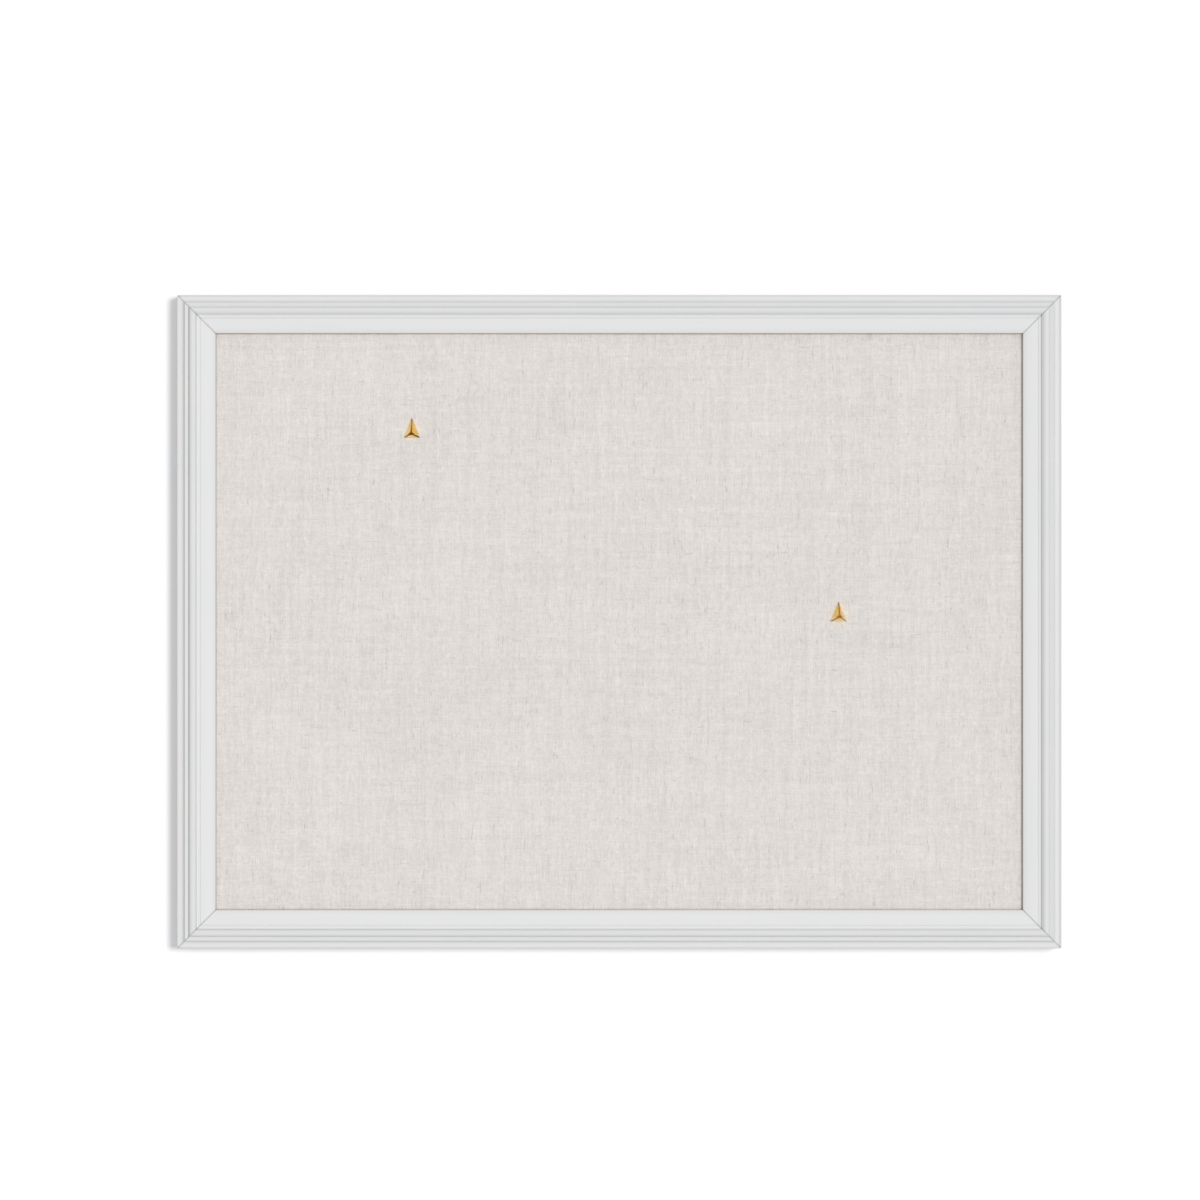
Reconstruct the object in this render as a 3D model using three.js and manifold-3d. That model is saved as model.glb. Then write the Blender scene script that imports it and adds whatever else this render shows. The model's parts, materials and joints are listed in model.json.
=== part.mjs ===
// A framed linen bulletin board: four mitred lengths of moulding round a linen-covered cork panel,
// hung on the wall by two D-rings, with two pyramid push pins in it.
// Millimetres, +Z up, and the front faces -Y. The origin is on the wall, midway between the two
// places where wall hooks carry the D-rings when the rings are swung up.

import * as THREE from 'three';
import { ConvexGeometry } from 'three/addons/geometries/ConvexGeometry.js';
import { mergeVertices } from 'three/addons/utils/BufferGeometryUtils.js';
import Module from 'manifold-3d';

// Overall sizes
const boardWidth = 584.2;
const boardHeight = 431.8;

// Moulding. Widths run inward from the outer edge, and heights forward from the back.
const mouldingWidth = 25.4;
const lipWidth = 0.7;
const lipHeight = 16.8;
const lipRound = 0.2;
const coveWidth = 4.1;
const coveDip = 0.7;
const filletWidth = 3.1;
const filletHeight = 18.8;
const filletFall = 0.5;
const grooveWidth = 0.55;
const grooveDepth = 0.35;
const ovoloWidth = 5.0;
const ovoloRiser = 0.6;
const crownHeight = 21.3;
const crownDrop = 0.9;
const stepDrop = 1.5;
const scotiaWidth = 2.3;
const scotiaFall = 0.5;
const quirkWidth = 0.45;
const quirkDepth = 0.3;
const sightHeight = 17.6;
const sightRound = 0.5;
const rabbetWidth = 6.5;
const rabbetLedge = 13.6;
const mitreGap = 0.15;

// Panel: linen stretched over cork, with a hardboard sheet behind it
const linenThickness = 0.6;
const linenTurnIn = 22;
const corkThickness = 8;
const hardboardThickness = 2.4;
const panelPlay = 1;

// Bent steel wedges that pull each mitre together, driven in from behind
const wedgeArm = 4.2;
const wedgeThickness = 0.5;
const wedgeHeight = 9;
const wedgeInset = 4.2;
const wedgeSpacing = 7.4;
const wedgePlay = 0.2;

// Flat steel points that hold the panel in its rabbet
const pointLength = 14;
const pointWidth = 6;
const pointThickness = 0.5;
const pointBite = 5;
const pointTipLength = 2.5;
const pointPlay = 0.15;
const pointsAcross = 3;
const pointsUp = 2;

// D-ring hangers
const hangerDrop = 92;
const wireDiameter = 2.2;
const ringWidth = 17;
const ringReach = 14.1;
const ringBend = 2.4;
const ringGap = 0.5;
const ringRestGap = 0.15;
const strapWidth = 9.6;
const strapThickness = 0.8;
const strapTail = 14;
const strapFoldGap = 0.15;
const strapEyeLength = 5;
const eyePlay = 0.2;

// Hanger screws
const screwDrop = 8.4;
const screwLength = 12;
const screwDiameter = 2.9;
const screwPointLength = 3;
const screwHeadDiameter = 6;
const screwHeadHeight = 1.8;
const screwHeadRim = 0.6;
const screwPlay = 0.15;

// Wall bumpers
const bumperDiameter = 12.6;
const bumperFaceDiameter = 10.4;
const bumperHeight = 4.8;
const bumperRound = 0.9;
const bumperFromEnd = 46;

// Push pins
const pinHeadWidth = 10.5;
const pinHeadLength = 12.9;
const pinHeadHeight = 9.2;
const pinHeadRim = 0.5;
const pinCornerRound = 0.35;
const pinPeakRound = 0.2;
const pinPeakRise = 2.7;
const needleDiameter = 1.1;
const needleLength = 8.4;
const needlePointLength = 2.4;
const needleRoot = 3.4;
const needlePlay = 0.15;
const socketPlay = 0.05;
const pinHeadLift = 0.2;
const leftPinAcross = -137;
const leftPinUp = 126;
const rightPinAcross = 145;
const rightPinUp = 4.5;

// Overrun of a cutting tool past the face that it cuts
const overrun = 1;

// Facets
const mouldingCurveSegments = 9;
const wireSides = 12;
const ringSteps = 64;
const foldSegments = 11;
const tailSegments = 16;
const lathedSides = 28;
const cornerPoints = 6;

// Places that several pieces share, counted forward (-Y) from the wall
const backFace = bumperHeight;
const backWidth = mouldingWidth - rabbetWidth;
const panelFront = backFace + rabbetLedge;
const corkFront = panelFront - linenThickness;
const corkBack = corkFront - corkThickness;
const hardboardFront = corkBack - linenThickness;
const hardboardBack = hardboardFront - hardboardThickness;
const panelWidth = boardWidth - 2 * (backWidth + panelPlay);
const panelHeight = boardHeight - 2 * (backWidth + panelPlay);
const wireRadius = wireDiameter / 2;
const foldedThickness = 2 * strapThickness + strapFoldGap;
const ringAxisHeight = strapThickness + eyePlay + wireRadius;
const hingeUp = wireDiameter - ringReach;
const boardCentreUp = hangerDrop - boardHeight / 2;
const quarterTurn = Math.PI / 2;

// Materials
const paint = new THREE.MeshStandardMaterial({ color: 0xe8e8e8, roughness: 0.5 });
const linen = new THREE.MeshStandardMaterial({ color: 0xdfdad5, roughness: 0.95 });
const cork = new THREE.MeshStandardMaterial({ color: 0xb98d5e, roughness: 0.95 });
const hardboard = new THREE.MeshStandardMaterial({ color: 0x7a573a, roughness: 0.8 });
const steel = new THREE.MeshStandardMaterial({ color: 0xb9bcc0, roughness: 0.35, metalness: 1 });
const nickel = new THREE.MeshStandardMaterial({ color: 0xc9c6bd, roughness: 0.25, metalness: 1 });
const gold = new THREE.MeshStandardMaterial({ color: 0xd9a441, roughness: 0.22, metalness: 1 });
const rubber = new THREE.MeshStandardMaterial({ color: 0xd6d6d2, roughness: 0.6 });

const wasm = await Module();
wasm.setup();

/** A closed geometry as a solid that can be cut and joined. */
function toSolid(geometry) {
  const bare = geometry.clone();
  bare.deleteAttribute('normal');
  bare.deleteAttribute('uv');
  const welded = mergeVertices(bare);
  return new wasm.Manifold(new wasm.Mesh({
    numProp: 3,
    vertProperties: welded.getAttribute('position').array,
    triVerts: new Uint32Array(welded.index.array),
  }));
}

/** A solid as a geometry with a normal for each facet. */
function toGeometry(solid) {
  const { vertProperties, triVerts } = solid.getMesh();
  const indexed = new THREE.BufferGeometry();
  indexed.setAttribute('position', new THREE.BufferAttribute(vertProperties, 3));
  indexed.setIndex(new THREE.BufferAttribute(triVerts, 1));
  const geometry = indexed.toNonIndexed();
  geometry.computeVertexNormals();
  return geometry;
}

/** Cuts from a mesh the room that each fastener needs, which the fastener carries in userData.room. */
function makeRoom(mesh, fasteners) {
  const toMesh = mesh.matrixWorld.clone().invert();
  let solid = toSolid(mesh.geometry);
  for (const fastener of fasteners) {
    const place = toMesh.clone().multiply(fastener.matrixWorld);
    solid = solid.subtract(toSolid(fastener.userData.room.clone().applyMatrix4(place)));
  }
  mesh.geometry = toGeometry(solid);
}

/** A named mesh of one piece. */
function piece(name, geometry, material) {
  const mesh = new THREE.Mesh(geometry, material);
  mesh.name = name;
  return mesh;
}

/** A box with its centre across and up, and its front and back given forward from the wall. */
function slab(width, height, front, back, centreUp) {
  const box = new THREE.BoxGeometry(width, front - back, height);
  return box.translate(0, -(front + back) / 2, centreUp);
}

/** An outline extruded to a length, centred on it, with the outline's x and y along two given axes. */
function extrudeAlong(shape, length, xAxis, yAxis, curveSegments) {
  const geometry = new THREE.ExtrudeGeometry(shape, { depth: length, bevelEnabled: false, curveSegments });
  geometry.translate(0, 0, -length / 2);
  return geometry.applyMatrix4(new THREE.Matrix4().makeBasis(xAxis, yAxis, xAxis.clone().cross(yAxis)));
}

/** A solid turned about Y, from [radius, y] pairs that start and end on the axis and run towards +Y. */
function turned(pairs) {
  return new THREE.LatheGeometry(pairs.map(([radius, y]) => new THREE.Vector2(radius, y)), lathedSides);
}

/** A strip of even thickness along a line of points, as an outline. */
function stripOutline(points, thickness) {
  const sides = [1, -1].map((side) => points.map((point, i) => {
    const before = points[Math.max(i - 1, 0)];
    const after = points[Math.min(i + 1, points.length - 1)];
    const into = point.clone().sub(before).normalize();
    const out = after.clone().sub(point).normalize();
    const along = into.clone().add(out).normalize();
    const turn = Math.abs(along.dot(into.lengthSq() > 0 ? into : out));
    const reach = side * thickness / 2 / turn;
    return new THREE.Vector2(point.x - along.y * reach, point.y + along.x * reach);
  }));
  return new THREE.Shape([...sides[1], ...sides[0].reverse()]);
}

/** Draws a V groove into a section that runs outward and has come to the groove's inner lip. */
function drawGroove(section, width, depth) {
  const { x, y } = section.currentPoint;
  section.lineTo(x - width / 2, y - depth);
  section.lineTo(x - width, y);
}

/** The moulding's section: x runs inward from the outer edge, and y forward from the back. */
function mouldingSection() {
  const filletStart = lipWidth + coveWidth;
  const ovoloStart = filletStart + filletWidth;
  const stepStart = ovoloStart + ovoloWidth;
  const quirkStart = stepStart + scotiaWidth;
  const panelStart = quirkStart + quirkWidth;
  const filletFoot = filletHeight - filletFall;
  const ovoloFoot = filletFoot + ovoloRiser;
  const ovoloEnd = crownHeight - crownDrop;
  const crown = (ovoloStart + stepStart) / 2;
  const crownEnd = stepStart - grooveWidth;
  const scotiaTop = ovoloEnd - stepDrop;
  const quirkTop = scotiaTop - scotiaFall;

  const section = new THREE.Shape();
  section.moveTo(0, 0);
  section.lineTo(backWidth, 0);
  section.lineTo(backWidth, rabbetLedge);
  section.lineTo(mouldingWidth, rabbetLedge);
  section.lineTo(mouldingWidth, sightHeight - sightRound);
  section.quadraticCurveTo(mouldingWidth, sightHeight, mouldingWidth - sightRound, sightHeight);
  section.quadraticCurveTo((panelStart + mouldingWidth) / 2, quirkTop, panelStart, quirkTop);
  drawGroove(section, quirkWidth, quirkDepth);
  section.quadraticCurveTo(stepStart, quirkTop, stepStart, scotiaTop);
  section.lineTo(stepStart, ovoloEnd);
  drawGroove(section, grooveWidth, grooveDepth);
  section.quadraticCurveTo((crown + crownEnd) / 2, crownHeight, crown, crownHeight);
  section.quadraticCurveTo(ovoloStart, crownHeight, ovoloStart, ovoloFoot);
  section.lineTo(ovoloStart, filletFoot);
  drawGroove(section, grooveWidth, grooveDepth);
  section.lineTo(filletStart + grooveWidth, filletHeight);
  drawGroove(section, grooveWidth, grooveDepth);
  section.quadraticCurveTo(filletStart, lipHeight - coveDip, lipWidth + coveWidth / 3, lipHeight - coveDip);
  section.quadraticCurveTo(lipWidth, lipHeight - coveDip, lipWidth, lipHeight);
  section.lineTo(lipRound, lipHeight);
  section.quadraticCurveTo(0, lipHeight, 0, lipHeight - lipRound);
  section.closePath();
  return section;
}

/** One length of moulding, its ends mitred. Its outer back edge lies along X, and -Z is inward. */
function railGeometry(length) {
  const inward = new THREE.Vector3(0, 0, -1);
  const forward = new THREE.Vector3(0, -1, 0);
  const geometry = extrudeAlong(mouldingSection(), length, inward, forward, mouldingCurveSegments);
  const corners = geometry.getAttribute('position');
  for (let i = 0; i < corners.count; i += 1) {
    const end = Math.sign(corners.getX(i));
    corners.setX(i, end * (length / 2 + corners.getZ(i) - mitreGap));
  }
  return geometry;
}

/** A steel wedge seen from behind as an angle. Its arms run along -X and -Z from the mitre. */
function cornerWedge(name) {
  const blank = (thickness, arm, depth) => {
    const bend = [new THREE.Vector2(-arm, 0), new THREE.Vector2(0, 0), new THREE.Vector2(0, -arm)];
    const across = new THREE.Vector3(1, 0, 0);
    const up = new THREE.Vector3(0, 0, 1);
    return extrudeAlong(stripOutline(bend, thickness), depth, across, up, 1).translate(0, -depth / 2, 0);
  };
  const wedge = piece(name, blank(wedgeThickness, wedgeArm, wedgeHeight), steel);
  const slotDepth = wedgeHeight + wedgePlay + overrun;
  const slot = blank(wedgeThickness + 2 * wedgePlay, wedgeArm + wedgePlay, slotDepth);
  wedge.userData.room = slot.translate(0, overrun, 0);
  return wedge;
}

/** A flat steel point, lying on the hardboard, whose tip bites into the rabbet's wall along +Z. */
function retainingPoint(name) {
  const blank = (play) => {
    const half = pointWidth / 2 + play;
    const tip = pointBite + play;
    const outline = new THREE.Shape();
    outline.moveTo(-half, pointBite - pointLength);
    outline.lineTo(half, pointBite - pointLength);
    outline.lineTo(half, tip - pointTipLength);
    outline.lineTo(0, tip);
    outline.lineTo(-half, tip - pointTipLength);
    outline.closePath();
    const across = new THREE.Vector3(1, 0, 0);
    const outward = new THREE.Vector3(0, 0, 1);
    return extrudeAlong(outline, pointThickness + 2 * play, across, outward, 1);
  };
  const point = piece(name, blank(0), steel);
  point.userData.room = blank(pointPlay);
  return point;
}

/** The bent wire ring. Its straight bar lies along X on the hinge, and its bow rests on the strap. */
function hangerRing(name) {
  const halfWidth = ringWidth / 2 - wireRadius;
  const farBar = ringReach - wireRadius;
  const standOff = foldedThickness + ringRestGap + wireRadius - ringAxisHeight;
  const lean = Math.asin(standOff / farBar);
  const line = new THREE.Path();
  line.moveTo(ringGap / 2, 0);
  line.lineTo(halfWidth - ringBend, 0);
  line.absarc(halfWidth - ringBend, ringBend, ringBend, -quarterTurn, 0, false);
  line.absarc(0, farBar - halfWidth, halfWidth, 0, 2 * quarterTurn, false);
  line.absarc(ringBend - halfWidth, ringBend, ringBend, 2 * quarterTurn, 3 * quarterTurn, false);
  line.lineTo(-ringGap / 2, 0);
  const bends = line.getSpacedPoints(ringSteps).map((point) => new THREE.Vector3(point.x, 0, -point.y));
  const wire = new THREE.Shape().absarc(0, 0, wireRadius, 0, 4 * quarterTurn, false);
  const geometry = new THREE.ExtrudeGeometry(wire, {
    extrudePath: new THREE.CatmullRomCurve3(bends),
    steps: ringSteps,
    curveSegments: wireSides,
  });
  return piece(name, geometry.rotateX(lean), nickel);
}

/** The steel strip folded round the ring's bar. The hinge is its origin, and its tail hangs down. */
function hangerStrap(name) {
  const foldRadius = wireRadius + eyePlay + strapThickness / 2;
  const lower = strapThickness / 2;
  const upper = lower + strapThickness + strapFoldGap;
  const liftOff = quarterTurn * 4 / 3;
  const slope = new THREE.Vector2(-Math.sin(liftOff), Math.cos(liftOff)).multiplyScalar(foldRadius);
  const crest = new THREE.Vector2(Math.cos(liftOff), Math.sin(liftOff)).multiplyScalar(foldRadius);
  crest.y += ringAxisHeight;
  const line = new THREE.Path();
  line.moveTo(-strapTail, lower);
  line.lineTo(0, lower);
  line.absarc(0, ringAxisHeight, foldRadius, -quarterTurn, liftOff, false);
  line.bezierCurveTo(crest.x + slope.x, crest.y + slope.y, -strapEyeLength + foldRadius, upper,
    -strapEyeLength, upper);
  line.lineTo(-strapTail, upper);
  const strip = stripOutline(distinct(line.getPoints(foldSegments)), strapThickness);
  const up = new THREE.Vector3(0, 0, 1);
  const outward = new THREE.Vector3(0, 1, 0);
  const folded = extrudeAlong(strip, strapWidth, up, outward, 1);

  const half = strapWidth / 2;
  const tall = foldRadius + strapThickness + overrun;
  const plan = new THREE.Shape();
  plan.moveTo(half, tall);
  plan.lineTo(-half, tall);
  plan.absarc(0, half - strapTail, half, -2 * quarterTurn, 0, false);
  plan.closePath();
  const across = new THREE.Vector3(1, 0, 0);
  const trim = extrudeAlong(plan, 4 * tall, across, up, tailSegments);
  const solid = toSolid(folded).intersect(toSolid(trim)).translate([0, -ringAxisHeight, 0]);
  return piece(name, toGeometry(solid), nickel);
}

/** A line of points with no two neighbours alike. */
function distinct(points) {
  return points.filter((point, i) => i === 0 || point.distanceTo(points[i - 1]) > Number.EPSILON);
}

/** A pan-head wood screw along Y. The underside of its head is its origin, and +Y is its head. */
function hangerScrew(name) {
  const radius = screwDiameter / 2;
  const headRadius = screwHeadDiameter / 2;
  const shoulder = headRadius - (screwHeadHeight - screwHeadRim);
  const screw = piece(name, turned([
    [0, -screwLength],
    [radius, screwPointLength - screwLength],
    [radius, 0],
    [headRadius, 0],
    [headRadius, screwHeadRim],
    [(headRadius + shoulder) / 2, screwHeadHeight - (headRadius - shoulder) / 4],
    [shoulder, screwHeadHeight],
    [0, screwHeadHeight],
  ]), nickel);
  screw.userData.room = turned([
    [0, -screwLength - screwPlay],
    [radius + screwPlay, screwPointLength - screwLength],
    [radius + screwPlay, overrun],
    [0, overrun],
  ]);
  return screw;
}

/** A moulded bumper that stands on the frame's back, its flat face against the wall. */
function wallBumper(name) {
  const foot = bumperDiameter / 2;
  const face = bumperFaceDiameter / 2;
  return piece(name, turned([
    [0, 0],
    [foot, 0],
    [face, bumperHeight - bumperRound],
    [face - bumperRound / 3, bumperHeight - bumperRound / 3],
    [face - bumperRound, bumperHeight],
    [0, bumperHeight],
  ]), rubber);
}

/** The points of a small circle round a place, at one distance forward. */
function ringOfPoints(across, up, radius, forward) {
  return Array.from({ length: cornerPoints }, (_, i) => {
    const angle = quarterTurn + 4 * quarterTurn * i / cornerPoints;
    const x = across + radius * Math.cos(angle);
    return new THREE.Vector3(x, -forward, up + radius * Math.sin(angle));
  });
}

/** The cast head of a push pin: a three-sided pyramid on a thin rim, with a socket for its needle. */
function pinHead(name) {
  const top = pinHeadLength * 2 / 3 - pinCornerRound;
  const bottom = pinCornerRound - pinHeadLength / 3;
  const side = pinHeadWidth / 2 - pinCornerRound;
  const peak = pinPeakRise - pinHeadLength / 3;
  const rims = [0, pinHeadRim].flatMap((forward) => [[0, top], [-side, bottom], [side, bottom]]
    .flatMap(([across, up]) => ringOfPoints(across, up, pinCornerRound, forward)));
  const cast = new ConvexGeometry([...rims, ...ringOfPoints(0, peak, pinPeakRound, pinHeadHeight)]);
  const socketRadius = needleDiameter / 2 + socketPlay;
  const socket = turned([
    [0, -needleRoot - socketPlay],
    [socketRadius, -needleRoot - socketPlay],
    [socketRadius, overrun],
    [0, overrun],
  ]);
  const solid = toSolid(cast).translate([0, -pinHeadLift, 0]).subtract(toSolid(socket));
  return piece(name, toGeometry(solid), gold);
}

/** The pin's steel needle, its root in the head and its point in the cork. */
function pinNeedle(name) {
  const radius = needleDiameter / 2;
  const needle = piece(name, turned([
    [0, -needleRoot],
    [radius, -needleRoot],
    [radius, needleLength - needlePointLength],
    [0, needleLength],
  ]), steel);
  needle.userData.room = turned([
    [0, -overrun],
    [radius + needlePlay, -overrun],
    [radius + needlePlay, needleLength + needlePlay],
    [0, needleLength + needlePlay],
  ]);
  return needle;
}

const board = new THREE.Group();

// The four lengths of moulding, clockwise from the top, each in a group turned to its side
const frame = new THREE.Group();
frame.position.set(0, -backFace, boardCentreUp);
board.add(frame);
const sides = [
  { name: 'top', rail: 'top_rail', length: boardWidth, across: boardHeight, points: pointsAcross },
  { name: 'right', rail: 'right_stile', length: boardHeight, across: boardWidth, points: pointsUp },
  { name: 'bottom', rail: 'bottom_rail', length: boardWidth, across: boardHeight, points: pointsAcross },
  { name: 'left', rail: 'left_stile', length: boardHeight, across: boardWidth, points: pointsUp },
];
sides.forEach((side, i) => {
  const turn = new THREE.Group();
  turn.rotation.y = i * quarterTurn;
  frame.add(turn);
  const outerEdge = side.across / 2;
  side.mesh = piece(side.rail, railGeometry(side.length), paint);
  side.mesh.position.z = outerEdge;
  turn.add(side.mesh);

  const opening = side.length - 2 * mouldingWidth;
  side.fasteners = Array.from({ length: side.points }, (_, n) => {
    const point = retainingPoint(`retaining_point_${side.name}_${n + 1}`);
    const along = opening * ((n + 0.5) / side.points - 0.5);
    const onHardboard = hardboardBack - backFace - pointThickness / 2 - pointPlay;
    point.position.set(along, -onHardboard, outerEdge - backWidth);
    turn.add(point);
    return point;
  });
});

// Two wedges across each mitre, clockwise from the top right corner
['top_right', 'bottom_right', 'bottom_left', 'top_left'].forEach((corner, i) => {
  const [first, second] = [sides[i], sides[(i + 1) % sides.length]];
  ['outer', 'inner'].forEach((place, n) => {
    const wedge = cornerWedge(`corner_wedge_${corner}_${place}`);
    const inset = wedgeInset + n * wedgeSpacing;
    const turn = new THREE.Group();
    turn.rotation.y = i * quarterTurn;
    wedge.position.set(first.length / 2 - inset, 0, first.across / 2 - inset);
    turn.add(wedge);
    frame.add(turn);
    first.fasteners.push(wedge);
    second.fasteners.push(wedge);
  });
});

// The panel
const corkWidth = panelWidth - 2 * linenThickness;
const corkHeight = panelHeight - 2 * linenThickness;
const corkSlab = slab(corkWidth, corkHeight, corkFront, corkBack, boardCentreUp);
const corkPanel = piece('cork_panel', corkSlab, cork);
const wrapped = toSolid(slab(panelWidth, panelHeight, panelFront, hardboardFront, boardCentreUp));
const hollow = toSolid(corkSlab);
const openBack = toSolid(slab(
  panelWidth - 2 * linenTurnIn,
  panelHeight - 2 * linenTurnIn,
  corkBack + overrun,
  hardboardFront - overrun,
  boardCentreUp,
));
const linenCover = piece('linen_cover', toGeometry(wrapped.subtract(hollow.add(openBack))), linen);
const backing = slab(corkWidth, corkHeight, hardboardFront, hardboardBack, boardCentreUp);
board.add(linenCover, corkPanel, piece('backing_board', backing, hardboard));

// The D-ring hangers, one on each stile
[['left', -1], ['right', 1]].forEach(([name, hand]) => {
  const hanger = new THREE.Group();
  hanger.position.set(hand * (boardWidth - backWidth) / 2, ringAxisHeight - backFace, hingeUp);
  const strap = hangerStrap(`${name}_hanger_strap`);
  const screw = hangerScrew(`${name}_hanger_screw`);
  screw.position.set(0, foldedThickness - ringAxisHeight, -screwDrop);
  hanger.add(strap, hangerRing(`${name}_hanger_ring`), screw);
  board.add(hanger);
  board.updateMatrixWorld(true);
  makeRoom(strap, [screw]);
  sides.find((side) => side.name === name).fasteners.push(screw);
});

// A bumper near each end of the top and bottom rails
[['top', 1], ['bottom', -1]].forEach(([height, up]) => {
  [['left', -1], ['right', 1]].forEach(([name, hand]) => {
    const bumper = wallBumper(`wall_bumper_${height}_${name}`);
    const across = hand * (boardWidth / 2 - bumperFromEnd);
    bumper.position.set(across, -backFace, boardCentreUp + up * (boardHeight - backWidth) / 2);
    board.add(bumper);
  });
});

// The push pins
const needles = [['left', leftPinAcross, leftPinUp], ['right', rightPinAcross, rightPinUp]]
  .map(([name, across, up]) => {
    const pin = new THREE.Group();
    pin.position.set(across, -panelFront, boardCentreUp + up);
    const needle = pinNeedle(`${name}_pin_needle`);
    pin.add(pinHead(`${name}_pin_head`), needle);
    board.add(pin);
    return needle;
  });

// Slots and holes, cut when every piece is in place
board.updateMatrixWorld(true);
sides.forEach((side) => makeRoom(side.mesh, side.fasteners));
makeRoom(linenCover, needles);
makeRoom(corkPanel, needles);

export default board;
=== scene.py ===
"""Looks of a framed linen bulletin board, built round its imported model.

Four mitred lengths of white moulding hold a panel of linen over cork. Two gold pyramid push pins
stand in the linen, and behind are D-ring hangers, wall bumpers and the points that hold the panel.
The board faces -Y, +Z is up, and the wall is the plane y = 0. Sizes are in metres, written as a
number of millimetres times MM, and colours are linear.
"""

import json
import logging
import math
from collections.abc import Callable, Iterator, Sequence
from contextlib import contextmanager
from dataclasses import dataclass
from enum import Enum
from itertools import product
from typing import ClassVar, Union

import bmesh
import bpy
from mathutils import Matrix, Vector


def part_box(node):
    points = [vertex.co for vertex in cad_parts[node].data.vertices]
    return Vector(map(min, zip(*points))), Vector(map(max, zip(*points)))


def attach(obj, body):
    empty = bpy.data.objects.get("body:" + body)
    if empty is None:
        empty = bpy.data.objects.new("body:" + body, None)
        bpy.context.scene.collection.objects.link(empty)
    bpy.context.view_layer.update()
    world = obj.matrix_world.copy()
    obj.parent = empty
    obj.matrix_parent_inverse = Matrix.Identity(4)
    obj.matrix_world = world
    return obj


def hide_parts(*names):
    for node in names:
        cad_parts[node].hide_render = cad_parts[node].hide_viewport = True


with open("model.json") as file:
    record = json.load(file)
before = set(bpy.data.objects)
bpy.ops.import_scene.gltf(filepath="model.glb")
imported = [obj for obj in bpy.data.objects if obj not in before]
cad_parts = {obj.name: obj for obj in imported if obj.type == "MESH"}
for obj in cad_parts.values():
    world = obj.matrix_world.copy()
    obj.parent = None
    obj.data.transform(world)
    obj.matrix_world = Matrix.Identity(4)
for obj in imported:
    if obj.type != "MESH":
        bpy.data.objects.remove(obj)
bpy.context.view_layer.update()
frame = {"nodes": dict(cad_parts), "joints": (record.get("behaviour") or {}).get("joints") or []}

MM = 0.001
QUARTER_TURN = math.pi / 2
# Turns the top of a new primitive from +Z to -Y, where the board faces.
FACE_FORWARD = (QUARTER_TURN, 0, 0)
# How near a point lies to a plane that it counts as on.
NEAR = 0.01 * MM
# The least share of its normal along an axis of a face that faces it, squarely or at 45 degrees.
FACING = 0.9
DIAGONAL = 0.7
WHITE = (1.0, 1.0, 1.0, 1.0)
# What a place is multiplied by to be as it is seen from the front.
AS_SEEN = (1.0, 0.0, 1.0)
LOG = logging.getLogger("bulletin_board")

Span = tuple[float, float]
Ramp = tuple[Span, Span]
Triple = tuple[float, float, float]
Colour = tuple[float, float, float, float]
Piece = bpy.types.Object
Element = bmesh.types.BMVert | bmesh.types.BMEdge | bmesh.types.BMFace
Value = Union["Signal", float, tuple[float, ...]]
Inputs = dict[str | int, Value]


class Named(Enum):
    """A choice whose name is a word in the names of pieces and nodes."""

    @property
    def word(self) -> str:
        """The name in small letters."""
        return self.name.lower()


class Place(Named):
    """The four sides of the frame, by how many quarter turns each is from the top, clockwise."""

    TOP = 0
    RIGHT = 1
    BOTTOM = 2
    LEFT = 3

    @property
    def upright(self) -> bool:
        """Whether this side stands, as the stiles do."""
        return self.value % 2 == 1

    @property
    def node(self) -> str:
        """The node of this side's length of moulding."""
        return f"{self.word}_{'stile' if self.upright else 'rail'}"

    @property
    def axis(self) -> int:
        """The number of the axis that crosses this side: 0 for X and 2 for Z."""
        return 0 if self.upright else 2

    @property
    def outward(self) -> int:
        """Which way along that axis leads out of the frame, as 1 or -1."""
        return 1 if self in (Place.TOP, Place.RIGHT) else -1


class Hand(Named):
    """Left or right as seen from the front, by the sign of X."""

    LEFT = -1
    RIGHT = 1


class Part(Enum):
    """What a selection in edit mode is made of, by its name in a mesh."""

    VERT = "verts"
    EDGE = "edges"
    FACE = "faces"


class SocketKind(Enum):
    """The kinds of input that a shared group of nodes has."""

    NUMBER = "NodeSocketFloat"
    VECTOR = "NodeSocketVector"


@dataclass(frozen=True)
class Box:
    """A box whose edges lie along the axes.

    Attributes:
        low: Its lowest corner.
        high: Its highest corner.
    """

    low: Vector
    high: Vector

    @classmethod
    def of(cls, node: str) -> "Box":
        """The box of a node at rest."""
        return cls(*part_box(node))

    @property
    def size(self) -> Vector:
        """How far the box reaches along each axis."""
        return self.high - self.low

    @property
    def centre(self) -> Vector:
        """The middle of the box."""
        return (self.low + self.high) / 2

    def edge(self, place: Place) -> float:
        """Where the box ends towards one side of the frame."""
        return (self.high if place.outward > 0 else self.low)[place.axis]


def frame_outside() -> Box:
    """Measures the outside of the frame, each edge on its own side.

    The mitred ends of the solids stop just short of the corners.

    Returns:
        A box as wide and as high as the frame, without depth.
    """
    edges = {place: Box.of(place.node).edge(place) for place in Place}
    return Box(
        Vector((edges[Place.LEFT], 0, edges[Place.BOTTOM])),
        Vector((edges[Place.RIGHT], 0, edges[Place.TOP])),
    )


BOARD = frame_outside()


def nodes_of(kind: str) -> list[str]:
    """The names of the nodes that start with a kind of piece, in order."""
    return [name for name in sorted(frame["nodes"]) if name.startswith(kind)]


def select_only(piece: Piece) -> None:
    """Makes a piece the one selected and active object.

    Args:
        piece: The piece.
    """
    bpy.ops.object.select_all(action="DESELECT")
    piece.select_set(True)
    bpy.context.view_layer.objects.active = piece


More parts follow.
